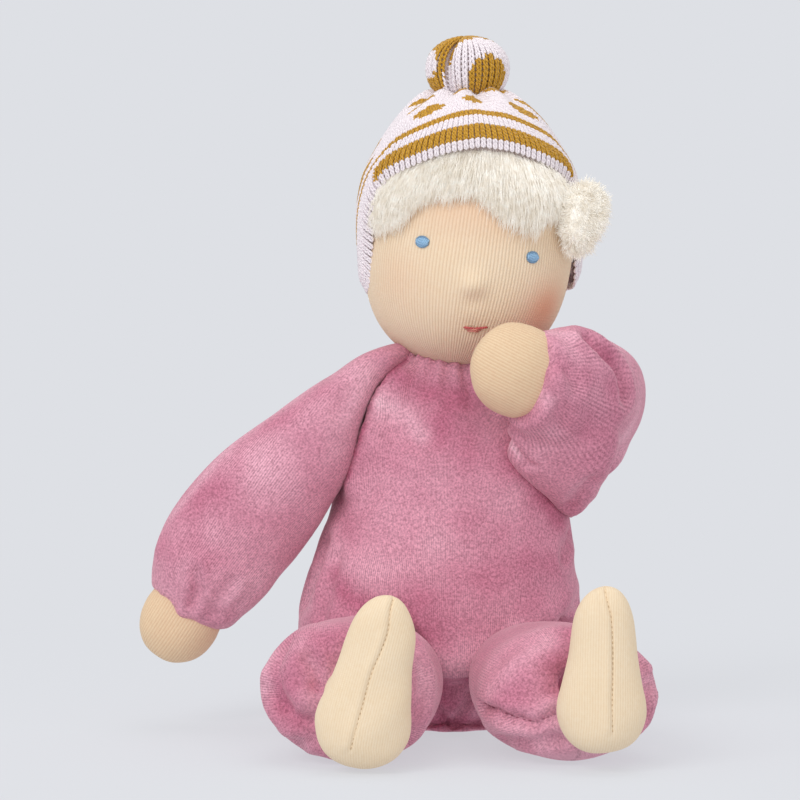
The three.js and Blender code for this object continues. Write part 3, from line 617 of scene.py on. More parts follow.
def jersey(name, rib, furrow, pitch, blush=None, depth=0.4 * MM):
    """Fine cotton jersey: upright ribs with small stitches, with painted shade in the dark furrows between them.
    """
    material, tree = new_material(name)
    cloth = add_node(tree, "ShaderNodeUVMap", uv_map="cloth").outputs[0]
    parts = add_node(tree, "ShaderNodeSeparateXYZ", {0: cloth})
    rest = add_node(tree, "ShaderNodeAttribute", attribute_name="rest").outputs["Vector"]
    fuzz = add_node(
        tree, "ShaderNodeTexNoise", {"Vector": rest, "Scale": 1 / COTTON_FUZZ, "Detail": 3.0}
    ).outputs[0]
    cloud = add_node(
        tree, "ShaderNodeTexNoise", {"Vector": rest, "Scale": 1 / SKIN_CLOUD, "Detail": 2.0}
    ).outputs[0]

    # Ribs round the form, a little out of line, and rows of stitches along them
    waver = add_node(tree, "ShaderNodeTexNoise", {"Vector": rest, "Scale": 1 / RIB_WAVER, "Detail": 2.0})
    shift = add_node(tree, "ShaderNodeMath", {0: waver, 1: 0.9}, operation="MULTIPLY")
    ribs = add_node(
        tree, "ShaderNodeMath", {0: parts, 1: FULL_TURN / pitch, 2: shift},
        operation="MULTIPLY_ADD",
    )
    ribs = add_node(tree, "ShaderNodeMath", {0: ribs, 1: 0.5}, operation="MULTIPLY")
    ribs = add_node(tree, "ShaderNodeMath", {0: ribs}, operation="SINE")
    ribs = add_node(tree, "ShaderNodeMath", {0: ribs}, operation="ABSOLUTE")
    rows = add_node(
        tree, "ShaderNodeMath", {0: parts.outputs[1], 1: FULL_TURN / (pitch * 0.75)}, operation="MULTIPLY"
    )
    rows = add_node(tree, "ShaderNodeMath", {0: rows}, operation="SINE")
    rows = add_node(tree, "ShaderNodeMath", {0: rows, 1: 0.12, 2: 0.88}, operation="MULTIPLY_ADD")
    height = add_node(tree, "ShaderNodeMath", {0: ribs, 1: rows}, operation="MULTIPLY").outputs[0]

    # The furrows and the gaps between rows of stitches take the darker colour as painted shade
    share = add_node(tree, "ShaderNodeMapRange", {"Value": height, "From Min": 0.1, "From Max": 0.75})
    colour = add_node(
        tree, "ShaderNodeMix", {0: share, 6: linear(furrow), 7: linear(rib)}, data_type="RGBA"
    ).outputs[2]
    for amount, noise in ((0.12, fuzz), (0.08, cloud)):
        grey = add_node(tree, "ShaderNodeMix", {0: noise, 6: BLACK, 7: WHITE}, data_type="RGBA")
        colour = add_node(
            tree, "ShaderNodeMix", {0: amount, 6: colour, 7: grey.outputs[2]}, data_type="RGBA",
            blend_type="OVERLAY",
        ).outputs[2]
    if blush:
        amount = add_node(tree, "ShaderNodeAttribute", attribute_name="blush").outputs["Fac"]
        colour = add_node(
            tree, "ShaderNodeMix", {0: amount, 6: colour, 7: linear(blush)}, data_type="RGBA"
        ).outputs[2]
    relief = add_node(tree, "ShaderNodeMath", {0: fuzz, 1: 0.25, 2: height}, operation="MULTIPLY_ADD")
    bump = add_node(tree, "ShaderNodeBump", {"Height": relief, "Strength": 0.6, "Distance": depth})
    links = {
        "Base Color": colour, "Roughness": 0.88, "Specular IOR Level": 0.2, "Sheen Weight": 0.25,
        "Sheen Roughness": 0.5, "Sheen Tint": linear("FFF1DC"), "Normal": bump,
    }
    finish_material(tree, add_node(tree, "ShaderNodeBsdfPrincipled", links))
    return material


def spun(name, colour_text, shade_text, ply, sheen=0.3, roughness=0.85):
    """Spun yarn or thread: plies that twist along it, with darker lines between them as painted shade."""
    material, tree = new_material(name)
    cloth = add_node(tree, "ShaderNodeUVMap", uv_map="cloth").outputs[0]
    parts = add_node(tree, "ShaderNodeSeparateXYZ", {0: cloth})
    place = add_node(tree, "ShaderNodeTexCoord").outputs["Object"]
    fuzz = add_node(
        tree, "ShaderNodeTexNoise", {"Vector": place, "Scale": 1 / YARN_FUZZ, "Detail": 3.0}
    ).outputs[0]
    twist = add_node(tree, "ShaderNodeMath", {0: parts.outputs[1], 1: FULL_TURN * 2}, operation="MULTIPLY")
    plies = add_node(
        tree, "ShaderNodeMath", {0: parts, 1: FULL_TURN / ply, 2: twist},
        operation="MULTIPLY_ADD",
    )
    plies = add_node(tree, "ShaderNodeMath", {0: plies, 1: 0.5}, operation="MULTIPLY")
    plies = add_node(tree, "ShaderNodeMath", {0: plies}, operation="SINE")
    plies = add_node(tree, "ShaderNodeMath", {0: plies}, operation="ABSOLUTE").outputs[0]
    # Between the plies the colour runs to the darker shade_text, painted shade in the grooves
    share = add_node(tree, "ShaderNodeMapRange", {"Value": plies, "From Min": 0.0, "From Max": 0.5})
    colour = add_node(
        tree, "ShaderNodeMix", {0: share, 6: linear(shade_text), 7: linear(colour_text)},
        data_type="RGBA",
    )
    grey = add_node(tree, "ShaderNodeMix", {0: fuzz, 6: BLACK, 7: WHITE}, data_type="RGBA")
    colour = add_node(
        tree, "ShaderNodeMix", {0: 0.2, 6: colour.outputs[2], 7: grey.outputs[2]}, data_type="RGBA",
        blend_type="OVERLAY",
    )
    relief = add_node(tree, "ShaderNodeMath", {0: fuzz, 1: 0.5, 2: plies}, operation="MULTIPLY_ADD")
    bump = add_node(tree, "ShaderNodeBump", {"Height": relief, "Strength": 0.5, "Distance": 0.3 * MM})
    links = {
        "Base Color": colour.outputs[2], "Roughness": roughness, "Specular IOR Level": 0.2,
        "Sheen Weight": sheen, "Normal": bump,
    }
    finish_material(tree, add_node(tree, "ShaderNodeBsdfPrincipled", links))
    return material


def mohair(name, colour_text):
    """Brushed mohair: fine off-white hairs, with a faint glow for the light that they pass to each other."""
    material, tree = new_material(name)
    place = add_node(tree, "ShaderNodeTexCoord").outputs["Object"]
    tone = add_node(tree, "ShaderNodeTexNoise", {"Vector": place, "Scale": 1 / HAIR_CLOUD, "Detail": 4.0})
    share = add_node(tree, "ShaderNodeMapRange", {"Value": tone, "From Min": 0.35, "From Max": 0.65})
    colour = add_node(
        tree, "ShaderNodeMix", {0: share, 6: linear("ECE5D9"), 7: linear(colour_text)},
        data_type="RGBA",
    ).outputs[2]
    links = {
        "Base Color": colour, "Roughness": 0.7, "Specular IOR Level": 0.25, "Sheen Weight": 0.3,
        "Emission Color": colour, "Emission Strength": 0.09,
    }
    finish_material(tree, add_node(tree, "ShaderNodeBsdfPrincipled", links))
    return material


def carded_wool(name):
    """Carded wool filling: matt cream fibres."""
    material, tree = new_material(name)
    place = add_node(tree, "ShaderNodeTexCoord").outputs["Object"]
    fibre = add_node(
        tree, "ShaderNodeTexNoise", {"Vector": place, "Scale": 1 / WOOL_TUFT, "Detail": 6.0}
    ).outputs[0]
    colour = add_node(
        tree, "ShaderNodeMix", {0: fibre, 6: linear("D8CDB9"), 7: linear("F4EDDF")}, data_type="RGBA"
    ).outputs[2]
    bump = add_node(tree, "ShaderNodeBump", {"Height": fibre, "Strength": 0.5, "Distance": 1 * MM})
    links = {"Base Color": colour, "Roughness": 1.0, "Specular IOR Level": 0.1, "Normal": bump}
    finish_material(tree, add_node(tree, "ShaderNodeBsdfPrincipled", links))
    return material


MATERIALS = {}


def material_for(slot):
    """The finish of one slot of the record, made once."""
    if slot in MATERIALS:
        return MATERIALS[slot]
    scene = bpy.context.scene
    suit, skin, hat = scene.doll_suit, scene.doll_skin, scene.doll_hat
    makers = {
        "rose_velour": lambda: velour("Brushed cotton velour", suit.nap_colour, suit.sheen_colour),
        # Each jersey's second colour is painted shade in its furrows
        "cream_velour": lambda: jersey(
            "Cotton tricot, feet", skin.foot_colour, "E3CCAC", FOOT_RIB, None, 0.1 * MM
        ),
        "skin_jersey": lambda: jersey(
            "Ribbed cotton jersey", skin.rib_colour, skin.furrow_shade_colour, skin.rib_pitch, skin.blush_colour
        ),
        "hand_jersey": lambda: jersey("Cotton jersey, hands", "E2C6A5", "D8B794", HAND_RIB, None, 0.18 * MM),
        # In each spun finish the second colour is painted shade between the plies
        "blue_outline": lambda: spun("Stranded cotton, grey blue", "7F9DB8", "50708D", THREAD_PLY, 0.1, 0.5),
        "wool_filling": lambda: carded_wool("Carded sheep's wool"),
        "mohair_yarn": lambda: mohair("Brushed mohair", hat.hair_colour),
        "patterned_knit": lambda: spun("Wool yarn, mustard", hat.mustard_colour, "7E5412", YARN_PLY),
        "white_yarn": lambda: spun("Wool yarn, white", hat.white_colour, "D9CBD3", YARN_PLY),
        # The knit's inside is darker than its yarns as painted shade between the loops
        "yarn_shade": lambda: spun("Wool yarn, inside of the knit with painted shade", "C2B0AC", "94827E", YARN_PLY),
        "blue_thread": lambda: spun("Stranded cotton, blue", "9CC3E4", "55809F", THREAD_PLY, 0.1, 0.5),
        "red_thread": lambda: spun("Stranded cotton, rose red", "C9605F", "A04A49", THREAD_PLY, 0.1, 0.55),
        "lip_thread": lambda: spun("Stranded cotton, pink", "DE9486", "C4776C", THREAD_PLY, 0.1, 0.6),
        "tan_thread": lambda: spun("Sewing cotton, tan", "CDAF86", "A88860", THREAD_PLY, 0.1, 0.7),
        "rose_thread": lambda: spun("Sewing cotton, rose", "A85A70", "7C3B50", THREAD_PLY, 0.1, 0.7),
        "white_thread": lambda: spun("Strong cotton, white", "EFE9DE", "C9BFB0", TIE_PLY, 0.1, 0.7),
    }
    MATERIALS[slot] = makers[slot]()
    return MATERIALS[slot]


TIE_STEPS = 40


def tie_round(name, centre, ways, offsets, radius, slot, node, body):
    """Thread tied round a place. ways are the half axes of each turn, and offsets its place along."""
    turns = np.linspace(0, FULL_TURN, TIE_STEPS, endpoint=False)
    ring = np.outer(np.cos(turns), ways[0]) + np.outer(np.sin(turns), ways[1])
    thread = tubes(name, [centre + offset + ring for offset in offsets], radius, 6, closed=True)
    dress(thread, slot)
    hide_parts(node)
    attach(thread, body)


def dress(piece, slot, finish=None):
    """Gives a piece the finish of a slot of the record, or another finish by name."""
    piece.data.materials.clear()
    piece.data.materials.append(material_for(finish or slot))
    return piece


# Velour suit

# Height, half width, half depth and sideways lean of the torso, as shares of the torso's own sizes
TORSO_SHARES = [
    (-0.002, 0.0, 0.0, 0.0), (0.0, 0.4, 0.4, 0.0), (0.004, 0.7, 0.68, -0.1), (0.03, 0.86, 0.86, -0.4),
    (0.12, 0.965, 0.975, -0.8), (0.27, 1.0, 1.0, -1.0), (0.42, 0.945, 0.96, -0.7), (0.57, 0.85, 0.87, -0.2),
    (0.7, 0.79, 0.77, 0.0), (0.81, 0.74, 0.68, 0.0), (0.9, 0.65, 0.58, 0.1), (0.96, 0.55, 0.49, 0.2),
    (0.998, 0.44, 0.41, 0.2), (1.01, 0.36, 0.34, 0.2), (0.98, 0.15, 0.15, 0.2), (0.97, 0.0, 0.0, 0.2),
]
TORSO_LEAN = 3.5 * MM
# The collar is pulled up under the chin on the side of the lowered arm
COLLAR_LIFT = 4.2 * MM
COLLAR_SIDE = 0.018
COLLAR_REACH = 12 * MM
COLLAR_PLEATS = 21
BODY_RIPPLE = 22 * MM
FLOOR_FADE = 6 * MM
TORSO_GRID = (90, 96)

# Folds in pixels of the photograph, then width and depth in millimetres
TORSO_FOLDS = [
    ([(382, 382), (371, 400), (361, 428), (349, 462)], 1.6, 2.0),
    ([(399, 378), (385, 402), (375, 430), (362, 460), (352, 484)], 4.5, -2.2),
    ([(433, 681), (440, 704), (448, 726)], 1.6, 1.6),
    ([(487, 672), (470, 700), (453, 728)], 1.6, 1.6),
    ([(327, 540), (318, 568), (306, 600)], 3.0, 1.4),
    ([(338, 560), (330, 590), (322, 618)], 2.6, 1.2),
    ([(566, 500), (571, 530), (562, 560)], 2.6, 1.2),
    ([(556, 626), (570, 616), (580, 600)], 3.0, 1.6),
    ([(350, 596), (372, 612), (400, 620)], 5.0, 1.1),
    ([(384, 420), (410, 438), (436, 440)], 4.5, 0.9),
]
# Lower edge of the belly, which hangs over the crotch between the legs, in pixels
BELLY_EDGE = [
    (405, 612), (420, 632), (431, 664), (442, 676), (453, 678), (478, 672), (501, 661), (521, 641),
    (549, 624), (585, 612),
]
BELLY_TUCK = 12 * MM
BELLY_SWELL = 2.5 * MM
# In pixels: how softly the edge fades at its ends, how steep it is, and where the belly swells over it
BELLY_FADE = 16
BELLY_STEP = 9
BELLY_SWELL_RISE = 12
BELLY_SWELL_WIDTH = 15
# Painted light and painted shade on the body's pile: pixels, width in millimetres and amount; above 0 a painted
# highlight, below 0 painted shade, as in the creases under the belly, at the crotch and beside the sleeves
TORSO_PAINTED_LIGHT = [
    ([(376, 400), (397, 411), (422, 432)], 4.0, 1.2),
    ([(386, 366), (430, 388), (470, 396)], 6.0, -0.6),
    ([(455, 430), (480, 440)], 9.0, -0.4),
    ([(321, 535), (347, 568)], 6.0, 0.5),
    ([(338, 574), (347, 596), (375, 611)], 4.0, -0.8),
    ([(318, 570), (306, 610)], 4.0, 0.5),
    ([(379, 570), (420, 560)], 12.0, 0.3),
    ([(467, 507), (446, 531)], 15.0, 0.35),
    ([(519, 462), (557, 516)], 5.0, -0.9),
    ([(428, 654), (445, 668), (480, 664), (520, 632)], 3.0, 0.6),
    ([(438, 690), (455, 704), (480, 686)], 7.0, -0.9),
    ([(432, 668), (443, 680), (478, 676), (503, 664), (549, 628)], 1.6, -1.2),
    ([(436, 722), (478, 722)], 2.6, -1.2),
    ([(404, 357), (386, 375), (373, 397), (362, 427), (350, 461), (340, 500)], 1.8, -1.4),
]


def hang_belly(piece):
    """Swells the belly over its lower edge and tucks the crotch back under it."""
    points = positions(piece)
    seen = to_pixels(points)
    edge_u, edge_v = np.array(BELLY_EDGE, float).T
    below = seen[:, 1] - np.interp(seen[:, 0], edge_u, edge_v)
    beside = np.clip(np.minimum(seen[:, 0] - edge_u[0], edge_u[-1] - seen[:, 0]) / BELLY_FADE, 0, 1)
    weight = np.clip(-2 * vertex_normals(piece)[:, 1], 0, 1) * beside
    step = np.clip(below / BELLY_STEP, 0, 1)
    tuck = step * step * (3 - 2 * step) * BELLY_TUCK
    points[:, 1] += (tuck - near(below + BELLY_SWELL_RISE, BELLY_SWELL_WIDTH) * BELLY_SWELL) * weight
    move_to(piece, points)


def make_torso(strength, pitch):
    """The suit's body: a pear that sits flat, gathered at the neck."""
    low, high = box_of("torso_cover")
    half_width = (high[0] - low[0]) / 2
    half_depth = (high[1] - low[1]) / 2
    height = high[2]
    stations = [
        (lean * TORSO_LEAN, 0, height * rise, half_width * wide, half_depth * deep)
        for rise, wide, deep, lean in TORSO_SHARES
    ]
    piece = grid_object("suit_body", loft(stations, SIDEWAYS, *TORSO_GRID, UP))
    remeshed(piece, pitch)
    points = positions(piece)
    normals = vertex_normals(piece)
    turns = np.arctan2(points[:, 1], points[:, 0])
    neck = near(points[:, 2] - height, COLLAR_REACH)
    swell = ripple(points, BODY_RIPPLE, 3) * 0.6 * (1 - neck)
    swell = swell + pleats(turns, COLLAR_PLEATS, 5) * 0.8 * neck
    off_floor = np.clip(points[:, 2] / FLOOR_FADE, 0, 1)
    points = points + normals * (swell * MM * strength * off_floor)[:, None]
    points[:, 2] += neck * np.clip(-points[:, 0] / COLLAR_SIDE, 0, 1) * COLLAR_LIFT
    points[:, 2] = np.maximum(points[:, 2], 0)
    move_to(piece, points)
    hang_belly(piece)
    photo_creases(piece, TORSO_FOLDS, strength)
    paint_light_and_shade(piece, TORSO_PAINTED_LIGHT)
    count_wales(piece, np.zeros(3), UP, AHEAD, half_width)
    points = positions(piece)
    points[:, 2] = np.maximum(points[:, 2], 0)
    move_to(piece, points)
    return piece


# Centre line, half width and half depth of the sleeves, in millimetres from the shoulder to the wrist
RIGHT_SLEEVE = [
    (-14, 0, 135, 0, 0), (-16, -1, 133.8, 3.4, 8), (-21, -3, 131.6, 5, 12), (-30.8, -7.5, 126.2, 7, 14.5),
    (-36, -9.5, 120.8, 9.2, 15.4), (-41.2, -11, 115, 11.8, 15.8), (-46.8, -11.5, 107, 15.4, 16.4),
    (-52.6, -11, 98.6, 18.7, 17), (-62.3, -9.5, 87.6, 21.6, 17.6), (-71.3, -8, 77.6, 22.4, 18.2),
    (-79, -7.5, 68.6, 22.4, 18.4), (-84.6, -7.8, 59.3, 22.2, 18), (-88.2, -8.2, 52.4, 20.6, 16.6),
    (-90.3, -8.5, 47.8, 18.6, 15), (-91.6, -8.6, 44.4, 17, 13.4), (-92.6, -8.6, 42.2, 15.8, 12.2),
    (-92, -8.6, 43.4, 14, 10.8), (-90, -8.5, 48, 9, 8), (-89.5, -8.5, 50, 0, 0),
]
LEFT_SLEEVE = [
    (12, 2, 120, 0, 0), (15, 2, 118, 12, 10), (22, 3, 113, 19, 14), (31, 5, 107.4, 22.5, 16),
    (41, 9, 105.4, 22.5, 16.5), (49.5, 11.5, 108, 20, 16), (54.5, 9, 112.8, 18.4, 14.8),
    (55.5, 1, 116, 18.8, 14.8), (52.5, -10, 118.6, 20.2, 16), (47.5, -20, 120.8, 21.2, 16.6),
    (42, -29, 122.6, 21.6, 16.4), (36.4, -36.5, 124, 20.8, 15.6), (32.6, -40.6, 124.8, 19.4, 14.4),
    (29.6, -44, 125.5, 18.4, 13.6), (27, -47, 126.1, 17.8, 13.2), (28, -45.8, 125.9, 15.4, 11.2),
    (32, -41.2, 125, 9, 8), (33, -40, 124.7, 0, 0),
]
# Cloth that hangs from the left forearm to the armpit and closes the bend of the elbow
LEFT_GUSSET = [
    (38, -33, 120, 0, 0), (37, -33, 117, 11, 8), (36.5, -31, 110, 17, 11), (40, -24, 100.5, 19.4, 13.5),
    (43, -14, 90, 12.2, 12.5), (43.4, -9, 82, 6.4, 9), (43, -6, 76, 1.5, 3), (43, -6, 75, 0, 0),
]
RIGHT_SLEEVE_FOLDS = [
    ([(190, 606), (196, 588), (197, 570)], 1.7, 1.7),
    ([(212, 616), (222, 598), (234, 584)], 2.2, 0.8),
    ([(300, 540), (285, 515), (262, 500)], 6.0, 0.7),
    ([(374, 366), (352, 388), (340, 410)], 3.4, 0.8),
]
LEFT_SLEEVE_FOLDS = [
    ([(588, 338), (606, 354), (620, 374), (624, 396)], 2.8, 2.4),
    ([(556, 360), (566, 370), (576, 388)], 2.6, 1.2),
    ([(556, 396), (560, 412), (560, 426)], 3.0, 1.0),
    ([(508, 436), (517, 452), (532, 466)], 1.4, 1.0),
    ([(600, 470), (584, 488), (570, 506)], 2.6, 1.2),
]
# Painted light and painted shade on the sleeves' pile: pixels, width in millimetres and amount; pale edges and
# bands are painted sheen and highlights, deeper places painted shade
RIGHT_SLEEVE_PAINTED_LIGHT = [
    ([(321, 392), (251, 442), (202, 500)], 7.0, -0.6),
    ([(364, 383), (345, 444), (325, 492), (269, 574), (234, 596)], 7.5, 0.55),
    ([(316, 385), (234, 444), (174, 513)], 2.0, 0.6),
    ([(195, 548), (212, 556)], 5.0, -0.5),
]
LEFT_SLEEVE_PAINTED_LIGHT = [
    ([(553, 332), (573, 334)], 3.0, 0.8),
    ([(583, 345), (610, 357)], 4.0, -0.6),
    ([(550, 367), (589, 376)], 5.0, -0.5),
    ([(534, 389), (551, 402)], 2.6, 0.7),
    ([(642, 374), (637, 412), (613, 459)], 5.0, 0.5),
    ([(542, 459), (566, 483)], 7.0, 0.35),
    ([(507, 412), (507, 436), (519, 454)], 1.8, 0.9),
]


# Seams whose stitches show, in pixels of the photograph
LEFT_HEM = [(504, 432), (509, 442), (517, 451), (526, 458)]
LEG_CREASE = [(484, 704), (505, 714), (532, 720), (556, 714)]
SLEEVE_GRID = (96, 72)
SLEEVE_SMOOTHING = 10
SLEEVE_PLEATS = 9
LIMB_RIPPLE = 20 * MM
WRIST_REACH = 45 * MM
PLEAT_BACK = 9 * MM
PLEAT_REACH = 6 * MM
HEM_PLEATS = {"right": 0.5, "left": 0.15}
# How far from the wrist the knit's columns show
WALE_REACH = {"right": 120 * MM, "left": 48 * MM}


def make_sleeve(side, tables, across, folds, painted_light, strength, pitch):
    """A sleeve from inside the body to its gathered wrist."""
    forms = []
    for table, way_across in zip(tables, (across, SIDEWAYS)):
        stations = np.array(table, float) * MM
        forms.append(grid_object(f"{side}_sleeve", loft(stations, way_across, *SLEEVE_GRID)))
    piece = united(forms)
    remeshed(piece, pitch, SLEEVE_SMOOTHING)
    points = positions(piece)
    wrist = pivot(f"{side}_wrist")
    elbow = pivot(f"{side}_elbow")
    way = unit(wrist - elbow)
    side_way = unit(across - (across @ way) * way)
    away = points - wrist
    turns = np.arctan2(away @ np.cross(way, side_way), away @ side_way)
    back = np.clip(-(away @ way), 0, None)
    gather = near(back - PLEAT_BACK, PLEAT_REACH) * (np.linalg.norm(away, axis=1) < WRIST_REACH)
    swell = pleats(turns, SLEEVE_PLEATS, 11 + len(side)) * HEM_PLEATS[side] * gather
    swell = swell + ripple(points, LIMB_RIPPLE, 8) * 0.5 * (1 - gather)
    move_to(piece, points + vertex_normals(piece) * (swell * MM * strength)[:, None])
    photo_creases(piece, folds, strength)
    paint_light_and_shade(piece, painted_light)
    count_wales(piece, wrist, way, AHEAD, (table[len(table) // 2][3] + 1) * MM, WALE_REACH[side])
    return piece


# Place along the leg, half width and half height, as shares of the leg's own sizes
LEG_SHARES = [
    (-0.3, 0.0, 0.0), (-0.28, 0.24, 0.28), (-0.2, 0.45, 0.5), (-0.08, 0.6, 0.66), (0.05, 0.7, 0.74),
    (0.22, 0.82, 0.83), (0.42, 0.93, 0.9), (0.62, 1.0, 0.965), (0.8, 1.02, 1.0), (0.91, 0.97, 0.97),
    (0.98, 0.84, 0.86), (1.02, 0.66, 0.69), (1.038, 0.48, 0.52), (1.046, 0.32, 0.36), (1.05, 0.16, 0.18),
    (1.052, 0.0, 0.0),
]
# Sideways place of the gathered end, half width and half height of each leg
LEG_END = {"right": -36.4 * MM, "left": 41.2 * MM}
LEG_HALF_WIDTH = {"right": 29.0 * MM, "left": 29.4 * MM}
LEG_HALF_HEIGHT = {"right": 24.1 * MM, "left": 22.7 * MM}
HEM_RING = 12 * MM
HEM_REACH = 8 * MM
LEG_GRID = (80, 80)
LEG_PLEATS = 11
ANKLE_REACH = 12 * MM
RIGHT_LEG_FOLDS = [
    ([(290, 634), (276, 668), (284, 702)], 3.2, 1.6),
    ([(268, 690), (292, 716), (318, 728)], 3.2, 2.0),
    ([(308, 656), (316, 674), (318, 690)], 2.0, 1.2),
    ([(412, 640), (424, 672), (420, 708)], 2.6, 1.4),
    ([(408, 712), (416, 724), (410, 742)], 2.6, 1.2),
    ([(290, 744), (316, 742), (334, 752)], 2.6, 1.2),
]
# Painted light and painted shade on the trouser legs' pile: pixels, width in millimetres and amount; paler edges
# are painted sheen, deeper bands painted shade
LEG_PAINTED_LIGHT = {
    "right": [
        ([(282, 638), (325, 640)], 7.0, -0.6), ([(266, 650), (264, 690)], 3.0, 0.7),
        ([(415, 650), (424, 690)], 4.0, 0.5), ([(280, 690), (300, 720)], 5.0, -0.5),
        ([(298, 640), (312, 664)], 3.0, 0.5),
    ],
    "left": [
        ([(490, 690), (520, 660), (550, 640)], 3.5, 0.6),
        ([(506, 694), (530, 678), (550, 664)], 11.0, -0.8), ([(500, 730), (540, 738)], 5.0, 0.4),
        ([(645, 680), (655, 700)], 3.0, 0.5),
    ],
}
LEFT_LEG_FOLDS = [
    ([(483, 706), (505, 716), (532, 722), (556, 716)], 1.8, 2.2),
    ([(640, 664), (648, 692), (644, 716)], 2.6, 1.6),
    ([(655, 680), (640, 700), (640, 722)], 2.4, 1.4),
    ([(500, 660), (520, 645), (548, 640)], 4.5, 1.0),
    ([(498, 738), (530, 742), (556, 738)], 2.8, 1.4),
]


def make_leg(side, folds, strength, pitch):
    """A thick short trouser leg that lies forward and is gathered at the ankle."""
    hip, ankle = pivot(f"{side}_hip"), pivot(f"{side}_ankle")
    half_height = LEG_HALF_HEIGHT[side]
    way = ankle - hip
    way[0] = LEG_END[side] - hip[0]
    rise = UP * (half_height - hip[2])
    stations = [
        (*(hip + way * along + rise * min(tall, 1)), LEG_HALF_WIDTH[side] * wide, half_height * tall)
        for along, wide, tall in LEG_SHARES
    ]
    piece = grid_object(f"{side}_trouser_leg", loft(stations, SIDEWAYS, *LEG_GRID))
    remeshed(piece, pitch)
    points = positions(piece)
    along = (points - hip) @ unit(way)
    length = np.linalg.norm(way)
    offset = points - ankle
    turns = np.arctan2(offset[:, 2], offset[:, 0])
    ring = np.hypot(offset[:, 0], offset[:, 2])
    gather = near(ring - HEM_RING, HEM_REACH) * near(np.clip(length - along, 0, None), ANKLE_REACH)
    swell = pleats(turns, LEG_PLEATS, 21 + len(side)) * 0.4 * gather
    swell = swell + ripple(points, LIMB_RIPPLE, 18 + len(side)) * 0.6 * (1 - gather)
    points = points + vertex_normals(piece) * (swell * MM * strength)[:, None]
    move_to(piece, points)
    photo_creases(piece, folds, strength)
    paint_light_and_shade(piece, LEG_PAINTED_LIGHT[side])
    count_wales(piece, hip, unit(way), UP, LEG_HALF_WIDTH[side])
    points = positions(piece)
    points[:, 2] = np.maximum(points[:, 2], 0)
    move_to(piece, points)
    return piece


# Feet and hands

# Rise along a foot from heel to toe, half width and half depth, as shares of the foot's own sizes
FOOT_SHARES = [
    (0.0, 0.0, 0.0), (0.006, 0.25, 0.3), (0.03, 0.5, 0.55), (0.07, 0.71, 0.76), (0.13, 0.88, 0.92),
    (0.22, 0.99, 1.0), (0.31, 0.985, 0.99), (0.4, 0.91, 0.94), (0.51, 0.82, 0.86), (0.6, 0.76, 0.81),
    (0.7, 0.725, 0.77), (0.79, 0.68, 0.72), (0.86, 0.6, 0.64), (0.92, 0.48, 0.52), (0.965, 0.33, 0.36),
    (0.99, 0.17, 0.2), (1.0, 0.0, 0.0),
]
# Heel and toe of each foot in pixels of the photograph, and its half width
FOOT_PIXELS = {"right": ((353, 767), (391, 596)), "left": ((600, 753), (605, 586))}
FOOT_HALF_WIDTH = {"right": 15.9 * MM, "left": 14.9 * MM}
# The seam down each sole in pixels of the photograph, from toe to heel
FOOT_SEAM = {
    "right": [(393, 600), (390, 612), (388, 632), (380, 654), (371, 674), (361, 711), (353, 740), (350, 754)],
    "left": [(605, 592), (609, 608), (612, 624), (613, 672), (612, 706), (613, 737)],
}
# Stitches down the sole: length, gap and radius
SOLE_STITCH = (0.9 * MM, 0.8 * MM, 0.13 * MM)
FOOT_GRID = (90, 260)
FOOT_RIPPLE = 9 * MM
# The tricot lies this far round the filling, and the heel this far over the floor
FOOT_COVER = 1.2 * MM
HEEL_CLEARANCE = 0.4 * MM
SOFT_SWELL = 0.3 * MM
# In pixels: how softly the seam ends at the heel
SEAM_FADE = 8
SEAM_RISE = 0.5 * MM
SEAM_WIDTH = 1.3 * MM
SEAM_GROOVE = 0.6 * MM
GROOVE_WIDTH = 0.4 * MM
ANKLE_NECK_SHARES = [(-0.5, 0), (-0.5, 0.6), (-0.3, 0.9), (0, 1.0), (0.4, 0.97), (0.9, 0.92), (0.9, 0)]
ANKLE_NECK_RADIUS = 8.7 * MM


